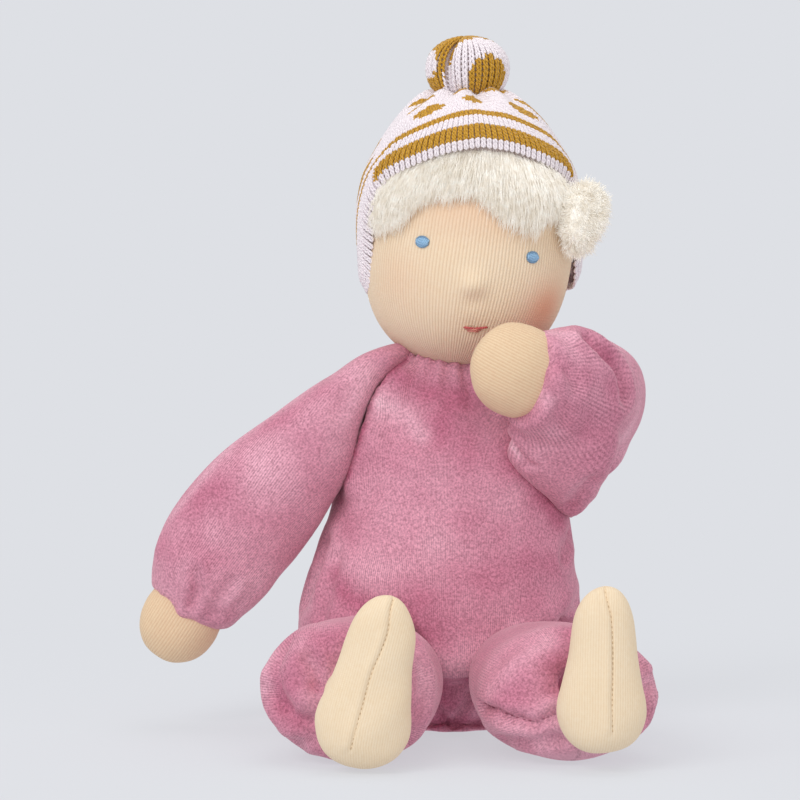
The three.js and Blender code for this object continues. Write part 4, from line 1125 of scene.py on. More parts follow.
def make_foot(side):
    """A pear-shaped foot with its toe up and a sewn ridge down the middle of the sole."""
    low, high = box_of(f"{side}_foot_filling")
    ankle = pivot(f"{side}_ankle")
    middle = (low + high) / 2
    half_depth = (high[1] - low[1]) / 2 + FOOT_COVER
    heel, toe = (from_pixel(pixel, middle[1]) for pixel in FOOT_PIXELS[side])
    heel[2] = max(heel[2], HEEL_CLEARANCE)
    foot_up = unit(toe - heel)
    length = np.linalg.norm(toe - heel)
    half_width = FOOT_HALF_WIDTH[side]
    stations = [
        (*(heel + foot_up * length * rise), half_width * wide, half_depth * deep)
        for rise, wide, deep in FOOT_SHARES
    ]
    points = loft(stations, SIDEWAYS, *FOOT_GRID)
    normals = grid_normals(points)
    front = np.clip(-normals[..., 1] * 2, 0, 1)
    seen = to_pixels(points.reshape(-1, 3))
    seam_u, seam_v = smooth_curve(FOOT_SEAM[side], 60).T
    gap = (seen[:, 0] - np.interp(seen[:, 1], seam_v, seam_u)).reshape(front.shape)
    gap = gap * VIEW_WIDTH / IMAGE_SIDE
    ends = np.clip((seam_v[-1] - seen[:, 1]) / SEAM_FADE, 0, 1).reshape(front.shape)
    ridge = near(gap + 2 * GROOVE_WIDTH + SEAM_WIDTH, SEAM_WIDTH) * SEAM_RISE
    seam = (ridge - near(gap, GROOVE_WIDTH) * SEAM_GROOVE) * ends
    soft = ripple(points.reshape(-1, 3), FOOT_RIPPLE, 30 + len(side)).reshape(gap.shape) * SOFT_SWELL
    points = points + normals * (seam * front + soft)[..., None]
    piece = grid_object(f"{side}_foot", points, straight=True)
    keep_rest(piece)
    store(piece, "blush", np.zeros(len(piece.data.vertices)))
    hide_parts(f"{side}_foot_cover", f"{side}_foot_filling")
    dress(piece, "cream_velour")
    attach(piece, f"{side}_foot")
    stitches = seam_stitches(
        f"{side}_foot_stitches", piece, FOOT_SEAM[side], "cream_velour", "tan_thread", *SOLE_STITCH
    )
    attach(stitches, f"{side}_foot")
    neck_length = ankle[1] - middle[1]
    neck = [
        (*(ankle + AHEAD * neck_length * along), ANKLE_NECK_RADIUS * wide, ANKLE_NECK_RADIUS * wide)
        for along, wide in ANKLE_NECK_SHARES
    ]
    stalk = grid_object(f"{side}_ankle_neck", loft(neck, SIDEWAYS, 30, 40, AHEAD))
    keep_rest(stalk)
    dress(stalk, "cream_velour")
    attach(stalk, f"{side}_foot")


# Place along the hand, half width and half depth, as shares of the hand's own sizes
HAND_SHARES = [
    (-0.4, 0.0, 0.0), (-0.38, 0.35, 0.4), (-0.28, 0.6, 0.68), (-0.12, 0.73, 0.8), (-0.04, 0.8, 0.87),
    (0.04, 0.88, 0.93), (0.14, 0.96, 0.985), (0.3, 1.0, 1.03), (0.46, 0.98, 1.02), (0.62, 0.9, 0.94),
    (0.76, 0.78, 0.81), (0.87, 0.61, 0.62), (0.95, 0.41, 0.42), (0.99, 0.2, 0.2), (1.0, 0.0, 0.0),
]
# Length, half width and half depth in millimetres
HAND_SIZES = {"right": (23.5, 14.6, 10.4), "left": (25.4, 16.6, 10.4)}
HAND_SEAM_DEPTH = 0.35 * MM
HAND_GRID = (60, 160)
HAND_RIPPLE = 8 * MM
# The thread at the wrist, as shares of the hand's half width and half depth, and its turns behind the wrist
WRIST_SHARES = (0.84, 0.92)
WRIST_TURNS = (0.6 * MM, 1.5 * MM)


def make_hand(side, heading, across):
    """A mitten of ribbed jersey, sewn from two layers, that comes out of the gathered sleeve."""
    wrist = pivot(f"{side}_wrist")
    length, half_width, half_depth = (size * MM for size in HAND_SIZES[side])
    stations = [
        (*(wrist + heading * length * along), half_width * wide, half_depth * deep)
        for along, wide, deep in HAND_SHARES
    ]
    points = loft(stations, across, *HAND_GRID)
    side_way = unit(across - (across @ heading) * heading)
    normals = grid_normals(points)
    edge = near(np.abs(normals @ side_way) - 1, 0.05) * HAND_SEAM_DEPTH
    soft = ripple(points.reshape(-1, 3), HAND_RIPPLE, 50 + len(side)).reshape(edge.shape) * SOFT_SWELL
    points = points + normals * (soft - edge)[..., None]
    piece = grid_object(f"{side}_hand", points, straight=True)
    keep_rest(piece)
    store(piece, "blush", np.zeros(len(piece.data.vertices)))
    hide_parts(f"{side}_hand_cover", f"{side}_hand_filling")
    dress(piece, "skin_jersey", "hand_jersey")
    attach(piece, f"{side}_hand")
    wide, deep = WRIST_SHARES
    ways = (side_way * half_width * wide, np.cross(heading, side_way) * half_depth * deep)
    tie_round(
        f"{side}_wrist_tie", wrist, ways, [-heading * back for back in WRIST_TURNS], 0.4 * MM,
        "rose_thread", f"{side}_wrist_thread", f"{side}_hand",
    )


# Head and face

# Rise from the head's middle and radius, as shares of its half height and radius
HEAD_SHARES = [
    (-1.05, 0.0), (-1.04, 0.17), (-1.0, 0.37), (-0.9, 0.6), (-0.745, 0.785), (-0.55, 0.91), (-0.33, 0.978),
    (-0.1, 1.0), (0.12, 0.995), (0.33, 0.955), (0.52, 0.87), (0.7, 0.72), (0.84, 0.54), (0.94, 0.33),
    (0.99, 0.14), (1.0, 0.0),
]
HEAD_RADIUS = 37 * MM
HEAD_HALF_HEIGHT = 43 * MM
FACE_TURN = 4
EYE_TURN = 32
EYE_RISE_SHARE = -0.03
NOSE_RISE_SHARE = -0.316
MOUTH_TURN = 9
MOUTH_RISE_SHARE = -0.665
HEAD_GRID = (120, 160)
# A faint hollow where the inner thread runs: its rise over the eyes, width and depth
EYE_LINE = (3 * MM, 5 * MM, 0.5 * MM)
# Swells and hollows of the face: turn, rise share, width and height in millimetres
FACE_SWELLS = [
    (FACE_TURN, NOSE_RISE_SHARE, 4.2, 2.6), (FACE_TURN + 1, NOSE_RISE_SHARE - 0.13, 3.5, -0.6),
    (MOUTH_TURN, MOUTH_RISE_SHARE, 4.5, -0.7),
]
# Rose on the cheeks: turn, rise share, width in millimetres and strength, and the same for the brow
CHEEKS = [(-42, -0.36, 11.0, 0.14), (56, -0.44, 9.5, 0.62)]
BROW = (0, 0.32, 12.0, 0.2)
BROW_STRETCH = np.array([0.4, 1, 1])


def head_place(turn_degrees, rise_share, out=0.0):
    """A place on the face from a turn towards the doll's left and a rise, `out` metres proud of it."""
    rises = np.array([rise for rise, _ in HEAD_SHARES])
    radii = np.array([radius for _, radius in HEAD_SHARES])
    level = np.interp(rise_share, rises, radii) * HEAD_RADIUS + out
    turn = np.radians(turn_degrees)
    place = HEAD_CENTRE + HEAD_AXIS * HEAD_HALF_HEIGHT * rise_share
    return place + HEAD_ACROSS * level * np.sin(turn) + AHEAD * level * np.cos(turn)


def make_head():
    """The stuffed head: smooth jersey over a wound core, with a small nose and a faint line at the eyes."""
    stations = [
        (*(HEAD_CENTRE + HEAD_AXIS * HEAD_HALF_HEIGHT * rise), HEAD_RADIUS * radius, HEAD_RADIUS * radius)
        for rise, radius in HEAD_SHARES
    ]
    points = loft(stations, HEAD_ACROSS, *HEAD_GRID, HEAD_AXIS)
    normals = grid_normals(points)
    rise = (points - HEAD_CENTRE) @ HEAD_AXIS
    facing = np.clip(-(normals[..., 1]), 0, 1)
    line_rise, line_width, line_depth = EYE_LINE
    swell = near(rise - EYE_RISE_SHARE * HEAD_HALF_HEIGHT - line_rise, line_width) * -line_depth * facing
    for turn, rise_share, width, tall in FACE_SWELLS:
        gap = np.linalg.norm(points - head_place(turn, rise_share), axis=2)
        swell = swell + near(gap, width * MM) * tall * MM
    points = points + normals * swell[..., None]
    piece = grid_object("head_skin", points)
    keep_rest(piece)
    skin = positions(piece)
    blush = np.zeros(len(skin))
    for turn, rise_share, width, strength in CHEEKS:
        gap = np.linalg.norm(skin - head_place(turn, rise_share), axis=1)
        blush = np.maximum(blush, near(gap, width * MM) * strength)
    turn, rise_share, width, strength = BROW
    gap = np.linalg.norm((skin - head_place(turn, rise_share)) * BROW_STRETCH, axis=1)
    blush = np.maximum(blush, near(gap, width * MM) * strength)
    store(piece, "blush", blush)
    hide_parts("head_cover", "head_core", "nose_bead", "eye_line_thread")
    dress(piece, "skin_jersey")
    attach(piece, "head")


# Rise over the neck's foot and radius, as shares of the neck's own sizes
NECK_SHARES = [(0.0, 0.0), (0.0, 0.9), (0.25, 1.0), (0.6, 1.0), (0.85, 1.06), (1.0, 1.2), (1.0, 0.0)]
NECK_TURNS = (-0.5 * MM, 0.4 * MM)
TIE_RADIUS = 0.45 * MM
TIE_CLEARANCE = 0.3 * MM


def make_neck():
    """The jersey neck between collar and chin, with the thread that ties it."""
    low, high = box_of("neck_stalk")
    radius = (high[0] - low[0]) / 2
    foot = (low + high) / 2
    foot[2] = low[2]
    rise = high[2] - low[2]
    stations = [(*(foot + UP * rise * up), radius * wide, radius * wide) for up, wide in NECK_SHARES]
    piece = grid_object("neck_skin", loft(stations, SIDEWAYS, 30, 60, UP))
    keep_rest(piece)
    dress(piece, "wool_filling", "hand_jersey")
    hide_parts("neck_stalk")
    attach(piece, "neck")
    tie_low, tie_high = box_of("neck_thread")
    reach = radius + TIE_CLEARANCE
    tie_round(
        "neck_tie", (tie_low + tie_high) / 2, (SIDEWAYS * reach, AHEAD * reach),
        [UP * up for up in NECK_TURNS], TIE_RADIUS, "white_thread", "neck_thread", "neck",
    )


def tubes(name, paths, radii, sides=5, closed=False, ups=None):
    """Many thin tubes as one mesh. paths is tubes by points by 3, and ups gives each point's way out."""
    paths = np.asarray(paths, float)
    count, steps = paths.shape[:2]
    if closed:
        tangents = np.roll(paths, -1, axis=1) - np.roll(paths, 1, axis=1)
    else:
        tangents = np.gradient(paths, axis=1)
    tangents /= np.maximum(np.linalg.norm(tangents, axis=2), 1e-12)[..., None]
    if ups is None:
        ups = np.where(np.abs(tangents[..., 2:3]).mean(axis=1, keepdims=True) < 0.8, UP, SIDEWAYS)
    first = np.cross(tangents, ups)
    first /= np.maximum(np.linalg.norm(first, axis=2), 1e-12)[..., None]
    second = np.cross(tangents, first)
    turns = np.linspace(0, FULL_TURN, sides, endpoint=False)
    radii = np.broadcast_to(np.asarray(radii, float), (count, steps))
    ring = first[:, :, None] * np.cos(turns)[:, None] + second[:, :, None] * np.sin(turns)[:, None]
    vertices = paths[:, :, None] + ring * radii[:, :, None, None]
    spans = steps if closed else steps - 1
    tube = np.arange(count)[:, None, None] * steps * sides
    step = np.arange(spans)[None, :, None]
    side = np.arange(sides)[None, None, :]
    here, there = tube + step * sides, tube + ((step + 1) % steps) * sides
    after = (side + 1) % sides
    quads = np.stack([here + side, here + after, there + after, there + side], axis=-1)
    last = paths[:, :1] if closed else paths[:, -1:]
    lengths = np.linalg.norm(np.diff(paths, axis=1, append=last), axis=2)
    along = np.concatenate([np.zeros((count, 1)), np.cumsum(lengths, axis=1)], axis=1)
    u0 = np.broadcast_to(along[:, :spans, None], (count, spans, sides))
    u1 = np.broadcast_to(along[:, 1 : spans + 1, None], (count, spans, sides))
    v0 = np.broadcast_to(side / sides, (count, spans, sides))
    v1 = v0 + 1 / sides
    uvs = np.stack([np.stack(corner, -1) for corner in ((u0, v0), (u0, v1), (u1, v1), (u1, v0))], axis=-2)
    made = mesh_object(name, vertices, quads.reshape(-1, 4), uvs.reshape(-1, 2))
    if closed:
        return made
    shell = bmesh.new()
    shell.from_mesh(made.data)
    rims = [edge for edge in shell.edges if edge.is_boundary]
    bmesh.ops.holes_fill(shell, edges=rims, sides=sides)
    shell.to_mesh(made.data)
    shell.free()
    made.data.polygons.foreach_set("use_smooth", np.full(len(made.data.polygons), sides > 3))
    return made


# A stitch starts this deep under the skin and rises this much from there
STITCH_SINK = 0.3 * MM
STITCH_ARCH = 0.9 * MM


def stitches_on_face(name, strokes, radius, slot, nodes):
    """Embroidery: strokes of thread that rise a little. A stroke is two pairs of turn and rise."""
    paths = []
    for (turn_a, rise_a), (turn_b, rise_b) in strokes:
        share = np.linspace(0, 1, 7)
        arch = np.sin(share * math.pi)
        line = [
            head_place(turn_a + (turn_b - turn_a) * s, rise_a + (rise_b - rise_a) * s, out)
            for s, out in zip(share, STITCH_ARCH * arch - STITCH_SINK)
        ]
        paths.append(line)
    piece = tubes(name, paths, radius, 6)
    dress(piece, slot)
    if nodes:
        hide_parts(*nodes)
    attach(piece, "head")
    return piece


EYE_REACH_TURN = 3.7
EYE_REACH_RISE = 1.8 * MM / HEAD_HALF_HEIGHT
EYE_STROKES = 8
EYE_FILL_SHARE = 0.86
EYE_STROKE_LEAN = 0.4
OUTLINE_STRETCH = 1.05


def make_eye(side, turn):
    """An eye of upright satin stitches with a darker outline."""
    strokes = []
    for k in range(EYE_STROKES):
        across = EYE_FILL_SHARE * (2 * k / (EYE_STROKES - 1) - 1)
        tall = math.sqrt(1 - across**2) * EYE_REACH_RISE
        at = turn + across * EYE_REACH_TURN
        strokes.append(((at, EYE_RISE_SHARE - tall), (at + EYE_STROKE_LEAN, EYE_RISE_SHARE + tall)))
    stitches_on_face(f"{side}_eye_stitches", strokes, 0.4 * MM, "blue_thread", [f"{side}_eye"])
    reach_rise = EYE_REACH_RISE * OUTLINE_STRETCH
    ring = [
        head_place(turn + EYE_REACH_TURN * math.cos(a), EYE_RISE_SHARE + reach_rise * math.sin(a), 0.15 * MM)
        for a in np.linspace(0, FULL_TURN, 24, endpoint=False)
    ]
    outline = tubes(f"{side}_eye_outline", [ring], 0.34 * MM, 6, closed=True)
    dress(outline, "blue_thread", "blue_outline")
    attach(outline, "head")


# Ends of the mouth's stitches: turn from the mouth's middle and rise, and the lower lip's
MOUTH_STITCHES = [((-6.5, -0.008), (1, -0.006)), ((1, -0.006), (9, 0.02))]
LIP_STITCHES = [((-5.5, -0.018), (5, -0.014)), ((-3.5, -0.03), (3.5, -0.028))]


def make_mouth():
    """A small mouth: one long dark stitch, caught in the middle, over two paler ones."""
    for name, stitches, radius, finish in (
        ("mouth_stitches", MOUTH_STITCHES, 0.42 * MM, None),
        ("lip_stitches", LIP_STITCHES, 0.4 * MM, "lip_thread"),
    ):
        strokes = [
            [(MOUTH_TURN + turn, MOUTH_RISE_SHARE + rise) for turn, rise in stitch] for stitch in stitches
        ]
        piece = stitches_on_face(name, strokes, radius, "red_thread", ["mouth"] if finish is None else [])
        if finish:
            dress(piece, "red_thread", finish)


# Hat: the edge is high over the forehead and low from the cheeks round to the nape

HAT_RADIUS = 40.4 * MM
HAT_TURN = 7
HAT_FRONT_RISE = 34.5 * MM
HAT_SIDE_DROP = 21 * MM
# Turn from the middle of the forehead and height of the edge between its lowest and its highest place
EDGE_SHARES = [
    (0, 1.0), (25, 0.955), (54, 0.84), (64, 0.76), (70, 0.57), (78, 0.22), (86, 0.1), (110, 0.06), (180, 0.0),
]
# Rise and radius from the lowest edge to the tie, in millimetres over the head's middle
HAT_PROFILE = [
    (-24, 39.2), (-8, 40), (10, 40.4), (20, 39.2), (27, 37.2), (34, 33.4), (40, 29.6), (45, 25.8),
    (49, 21.6), (52.2, 17), (54, 13), (53.4, 9.6), (51.4, 7.2), (49.6, 6.2),
]
# Rows of stitches from the edge up: how many, and whether they are mustard
HAT_BANDS = [(2, 0), (4, 1), (3, 0), (2, 1), (29, 0)]
# Over the bands the knit has staggered mustard patches, and the ears are white
PATCH_FIRST_ROW = 12
PATCH_ROWS = 8
PATCHES_ROUND = 9
EAR_WALES = (58, 118)
EAR_ROWS = 9
# Soft puffs round the tie: how many, how high, and where they sit under the hat's crest
PUFF_COUNT = 9
PUFF_RISE = 1.5 * MM
PUFF_PLACE = 2 * MM
PUFF_REACH = 9 * MM
PUFF_OUT_SHARE = 0.6
EDGE_TUCK = 2.2 * MM
EDGE_TUCK_REACH = 3.5 * MM
EDGE_STRETCH_SHARE = 1.15
LOOP_STEPS = 10
LOOP_SIDES = 5
LOOP_LEAN_SHARE = 0.16
LOOP_CLOSE_SHARE = 0.07
LOOP_HEIGHT_SHARE = 0.95
LOOP_LIFT_SHARE = 0.6
RIB_SINK_SHARE = 1.2
YARN_RADIUS = 0.52 * MM
BACKING_DEPTHS = (0.9 * MM, 1.9 * MM)
BACKING_GRID = (144, 70)
BACKING_FIRST_ROW = 1.2


def edge_rise(turn_degrees):
    """Height of the hat's edge over the head's middle."""
    turns = (np.asarray(turn_degrees, float) - HAT_TURN + 180) % 360 - 180
    dense = smooth_curve(EDGE_SHARES, 120)
    share = np.interp(np.abs(turns), dense[:, 0], dense[:, 1])
    return share * (HAT_FRONT_RISE + HAT_SIDE_DROP) - HAT_SIDE_DROP


HAT_CURVE = smooth_curve(HAT_PROFILE, 400) * MM
HAT_REACH = np.concatenate([[0], np.cumsum(np.linalg.norm(np.diff(HAT_CURVE, axis=0), axis=1))])
HAT_CREST = int(np.argmax(HAT_CURVE[:, 0]))
# Steps along the edge at which its place is worked out, and over how many of them its slope is evened
EDGE_STEPS = 720
EDGE_EVENING = 31
EDGE_LEAN_SHARE = 0.5


def edge_walk():
    """Turn and reach of the edge at even steps along it, so that the stitches are spaced evenly there."""
    turns = np.linspace(-180, 180, 4 * EDGE_STEPS + 1) + HAT_TURN
    reach = np.interp(edge_rise(turns), HAT_CURVE[:HAT_CREST, 0], HAT_REACH[:HAT_CREST])
    sideways = np.radians(turns) * HAT_RADIUS
    walked = np.concatenate([[0], np.cumsum(np.hypot(np.diff(sideways), np.diff(reach)))])
    even = np.linspace(0, walked[-1], EDGE_STEPS + 1)
    middle = EDGE_STEPS // 2
    sideways, reach = np.interp(even, walked, sideways), np.interp(even, walked, reach)
    slope = np.gradient(reach) / np.gradient(sideways)
    even = np.ones(EDGE_EVENING) / EDGE_EVENING
    slope = EDGE_LEAN_SHARE * np.convolve(np.pad(slope, EDGE_EVENING // 2, mode="wrap"), even, "valid")
    out = np.stack([-slope, np.ones_like(slope)]) / np.hypot(slope, 1)
    wales = (np.arange(EDGE_STEPS + 1) - middle) / EDGE_STEPS * 360
    return wales, sideways, reach, out


EDGE_WALES, EDGE_SIDEWAYS, EDGE_REACH, EDGE_OUT = edge_walk()


def hat_surface(wales, along, proud=0.0):
    """Points of the hat's outside. wales are degrees round the tie, along is metres up one from the edge."""
    start_side = np.interp(wales, EDGE_WALES, EDGE_SIDEWAYS)
    start_reach = np.interp(wales, EDGE_WALES, EDGE_REACH)
    end_side = np.radians(wales + HAT_TURN) * HAT_RADIUS
    length = np.hypot(end_side - start_side, HAT_REACH[-1] - start_reach)
    s = np.clip(along / length, 0, 1)
    first, last = s * (1 - s) ** 2 * length, s * s * (1 - s) * length
    ease = s * s * (3 - 2 * s)
    out_side, out_reach = (np.interp(wales, EDGE_WALES, way) for way in EDGE_OUT)
    sideways = start_side + (end_side - start_side) * ease + first * out_side
    reach = start_reach + (HAT_REACH[-1] - start_reach) * ease + first * out_reach - last
    return hat_place(sideways / HAT_RADIUS, reach, along, proud)


def hat_place(angle, reach, along, proud):
    """The place at an angle round the hat and a reach up its profile, with the puffs round the tie."""
    rise = np.interp(reach, HAT_REACH, HAT_CURVE[:, 0])
    radius = np.interp(reach, HAT_REACH, HAT_CURVE[:, 1])
    puff = near(reach - HAT_REACH[HAT_CREST] + PUFF_PLACE, PUFF_REACH)
    wave = np.cos(angle * PUFF_COUNT + 0.7) * 0.7 + np.cos(angle * (PUFF_COUNT - 4) + 2.1) * 0.3
    rise = rise + puff * wave * PUFF_RISE
    radius = radius + puff * wave * PUFF_RISE * PUFF_OUT_SHARE - near(along, EDGE_TUCK_REACH) * EDGE_TUCK
    inward = np.interp(reach, HAT_REACH, np.gradient(HAT_CURVE[:, 1], HAT_REACH))
    rise = rise - proud * inward
    radius = radius + proud * np.sqrt(np.clip(1 - inward**2, 0, 1))
    place = HEAD_CENTRE + HAT_AXIS * rise[..., None]
    sideways = HAT_ACROSS * (radius * np.sin(angle))[..., None]
    return place + sideways + AHEAD * (radius * np.cos(angle))[..., None]


def knitted(name, surface, stitches, rows, yarn, colour_of):
    """Ribbed stocking stitch as real loops. surface places them and colour_of gives each its yarn."""
    t = np.arange(stitches * LOOP_STEPS) / LOOP_STEPS * FULL_TURN
    stitch = t / FULL_TURN
    turns = (stitch + LOOP_LEAN_SHARE * np.sin(2 * t) + LOOP_CLOSE_SHARE * np.sin(t)) / stitches * 360 - 180
    lift = (-LOOP_LIFT_SHARE * np.cos(2 * t) - RIB_SINK_SHARE * np.cos(stitch * math.pi) ** 2) * yarn
    paths, ups = [], []
    for row in range(rows):
        at = np.clip(row + LOOP_HEIGHT_SHARE * np.cos(t) + 1, 0, rows + 1)
        base = surface(turns, at)
        beside = surface(turns + 1.0, at) - surface(turns - 1.0, at)
        above = surface(turns, np.minimum(at + 0.4, rows + 1)) - surface(turns, np.maximum(at - 0.4, 0))
        out = np.cross(beside, above)
        out /= np.maximum(np.linalg.norm(out, axis=1), 1e-12)[:, None]
        paths.append(base + out * lift[:, None])
        ups.append(out)
    piece = tubes(name, paths, yarn, LOOP_SIDES, closed=True, ups=np.array(ups))
    row_of = np.repeat(np.arange(rows), stitches * LOOP_STEPS * LOOP_SIDES)
    turn_of = np.tile(np.repeat(turns, LOOP_SIDES), rows)
    for slot in ("white_yarn", "patterned_knit"):
        piece.data.materials.append(material_for(slot))
    piece.data.polygons.foreach_set("material_index", colour_of(row_of, turn_of).astype(np.int32))
    return piece


def knit_backing(name, surface, rows):
    """A thin sheet for the inside of the knit, seen only between the loops, in a darker yarn colour that is
    painted shade there.
    """
    turns = np.linspace(-180, 180, BACKING_GRID[0], endpoint=False)
    grid = np.meshgrid(turns, np.linspace(BACKING_FIRST_ROW, rows + 1, BACKING_GRID[1]))
    skins = [surface(*grid, -depth) for depth in BACKING_DEPTHS]
    backing = grid_object(name, np.concatenate([skins[1], skins[0][::-1]]))
    backing.data.materials.append(material_for("yarn_shade"))
    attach(backing, "hat")


def make_hat(settings):
    """The hat's yarn rows over a thin inside with painted shade."""
    stitches = int(EDGE_STRETCH_SHARE * FULL_TURN * HAT_RADIUS / settings.stitch_width)
    colours = np.concatenate([np.full(count, mustard) for count, mustard in HAT_BANDS])
    rows = len(colours)
    end_side = np.radians(EDGE_WALES + HAT_TURN) * HAT_RADIUS
    wale_length = np.hypot(end_side - EDGE_SIDEWAYS, HAT_REACH[-1] - EDGE_REACH)

    def surface(wales, row, proud=0.0):
        """Rows lie evenly from the edge, and are drawn together towards the tie."""
        length = np.interp(wales, EDGE_WALES, wale_length)
        even = row * settings.row_height
        drawn = row / (rows + 1)
        return hat_surface(wales, np.minimum(even * (1 - drawn) + length * drawn * drawn, length), proud)

    def colour_of(row, turn):
        angle = np.radians(turn)
        tier = (row - PATCH_FIRST_ROW) / PATCH_ROWS
        patch = np.cos(angle * PATCHES_ROUND + 2.4 * np.floor(tier)) + 0.4 * np.cos(angle * 5 + 2)
        patch = (patch - 0.9 * np.cos(FULL_TURN * tier) > 0.8) & (tier > 0)
        ear = (np.abs(turn) > EAR_WALES[0]) & (np.abs(turn) < EAR_WALES[1]) & (row < EAR_ROWS)
        return np.where(ear, 0, colours[np.clip(row, 0, rows - 1)]) | patch

    piece = knitted("hat_knit", surface, stitches, rows, YARN_RADIUS, colour_of)
    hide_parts("hat_crown")
    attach(piece, "hat")
    knit_backing("hat_backing", surface, rows)


# Rise over the bobble's foot and radius, as shares of its own radius
BOBBLE_SHARES = [
    (-0.05, 0.34), (0.02, 0.56), (0.14, 0.76), (0.36, 0.93), (0.68, 1.02), (1.0, 0.98), (1.26, 0.8),
    (1.43, 0.54), (1.51, 0.26), (1.53, 0.04),
]
BOBBLE_ROWS = 20
# Where the round mustard patch sits on the ball, and how far the rings of colour reach from it
PATCH_WAY = unit(np.array([0.52, -0.8, -0.26]))
PATCH_REACH = 0.56
WHITE_REACH = 1.2
LEFT_WHITE_WAY = unit(np.array([-0.95, -0.3, 0.12]))
LEFT_WHITE_REACH = 0.36
FOLD_TURN = math.radians(-34)
FOLD_DEPTH_SHARE = 0.3
FOLD_WIDTH = 0.17
FOLD_END_SHARE = 0.94
# Rise of the ball's widest place and of the middle that its patches are set round
BALL_MIDDLE = 0.7
PATCH_MIDDLE = 0.76
BOBBLE_TURNS = (-0.6 * MM, 0.2 * MM, 1.0 * MM)


def make_bobble(settings):
    """The stuffed end of the hat: the same knit, tied off as a ball with one deep fold."""
    low, high = box_of("bobble_cover")
    radius = (high[1] - low[1]) / 2
    foot = (low + high) / 2
    foot[2] = low[2]
    profile = smooth_curve(BOBBLE_SHARES, 200)
    keys = np.linspace(0, 1, len(profile))
    stitches = int(FULL_TURN * radius / settings.stitch_width)

    def ball(turns, row):
        """Rise and radius at a turn and a row, as shares of the ball's radius."""
        share = np.clip(row / (BOBBLE_ROWS + 1), 0, 1)
        angle = np.radians(turns)
        fold = near(np.angle(np.exp(1j * (angle - FOLD_TURN))), FOLD_WIDTH)
        fold = fold * np.sin(share * math.pi * FOLD_END_SHARE)
        wide = np.interp(share, keys, profile[:, 1]) * (1 - FOLD_DEPTH_SHARE * fold)
        return np.interp(share, keys, profile[:, 0]) * (1 - 0.5 * FOLD_DEPTH_SHARE * fold), wide, angle

    def surface(turns, row, proud=0.0):
        rise, wide, angle = ball(turns, row)
        wide = np.maximum(wide * radius + proud, 0.2 * MM)
        rise = rise * radius + proud * (rise - BALL_MIDDLE)
        sideways = HAT_ACROSS * (wide * np.sin(angle))[..., None]
        return foot + HAT_AXIS * rise[..., None] + sideways + AHEAD * (wide * np.cos(angle))[..., None]

    def colour_of(row, turn):
        rise, wide, angle = ball(turn, row + 1)
        way = np.stack([wide * np.sin(angle), -wide * np.cos(angle), rise - PATCH_MIDDLE], axis=-1)
        way /= np.linalg.norm(way, axis=1)[:, None]
        gap = np.linalg.norm(way - PATCH_WAY, axis=1)
        left = np.linalg.norm(way - LEFT_WHITE_WAY, axis=1) < LEFT_WHITE_REACH
        return (gap < PATCH_REACH) | ((gap > WHITE_REACH) & ~left)

    piece = knitted("bobble_knit", surface, stitches, BOBBLE_ROWS, YARN_RADIUS, colour_of)
    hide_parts("bobble_cover", "bobble_filling")
    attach(piece, "hat")
    knit_backing("bobble_backing", surface, BOBBLE_ROWS)
    tie_rise, tie_radius = HAT_CURVE[-1]
    reach = tie_radius + TIE_CLEARANCE
    tie_round(
        "hat_tie", HEAD_CENTRE + HAT_AXIS * tie_rise, (HAT_ACROSS * reach, AHEAD * reach),
        [HAT_AXIS * rise for rise in BOBBLE_TURNS], TIE_RADIUS, "white_thread", "hat_tie_thread", "hat",
    )


# Hair

# The fringe's lower edge in pixels of the photograph, from the doll's right to its left
FRINGE_PIXELS = [
    (368, 224), (378, 231), (388, 229), (398, 225), (409, 218), (420, 206), (432, 199), (447, 197),
    (463, 195), (478, 196), (487, 203), (497, 212), (508, 222), (520, 225), (531, 231), (540, 220),
    (552, 216), (566, 217), (578, 222),
]
HAIR_STEPS = 8
HAIR_TAPER_SHARES = np.array([1, 1, 1, 0.95, 0.85, 0.7, 0.5, 0.25])
HAIR_RADIUS = 0.1 * MM
PUFF_THICKNESS = 3.6 * MM
FRINGE_GRID = (150, 40)
FRINGE_LOCKS = 70


def on_head(pixel):
    """Turn and rise share of the place on the head that shows at a pixel of the photograph."""
    middle = IMAGE_SIDE / 2
    scale = SENSOR / LENS / IMAGE_SIDE
    way = LOOK + SIDEWAYS * (pixel[0] - middle) * scale + LOOK_UP * (middle - pixel[1]) * scale
    stretch = np.array([HEAD_RADIUS, HEAD_RADIUS, HEAD_HALF_HEIGHT])
    basis = np.array([HEAD_ACROSS, AHEAD, HEAD_AXIS])
    start = basis @ (VIEW_PLACE - HEAD_CENTRE) / stretch
    ray = basis @ way / stretch
    half = start @ ray / (ray @ ray)
    inside = half**2 - (start @ start - 1) / (ray @ ray)
    place = start + ray * (-half - math.sqrt(max(inside, 0)))
    return math.degrees(math.atan2(place[0], place[1])), float(np.clip(place[2], -1, 1))


FRINGE_ENDS = np.array(sorted(on_head(pixel) for pixel in FRINGE_PIXELS))
FRINGE_TURNS = (-62, 66)


def fringe_end(turns):
    """Rise share at which the fringe ends."""
    return np.interp(turns, FRINGE_ENDS[:, 0], FRINGE_ENDS[:, 1])


def fringe_place(turns, drop, out):
    """Places of the fringe: drop runs from under the hat's edge (0) to the fringe's end (1)."""
    top = edge_rise(turns) / HEAD_HALF_HEIGHT + 0.1
    rise = top + (fringe_end(turns) - top) * drop
    rises, radii = smooth_curve(HEAD_SHARES, 80).T
    level = np.interp(rise, rises, radii) * HEAD_RADIUS + out
    angle = np.radians(turns)
    place = HEAD_CENTRE + HEAD_AXIS * (HEAD_HALF_HEIGHT * rise)[..., None]
    sideways = HEAD_ACROSS * (level * np.sin(angle))[..., None]
    return place + sideways + AHEAD * (level * np.cos(angle))[..., None]


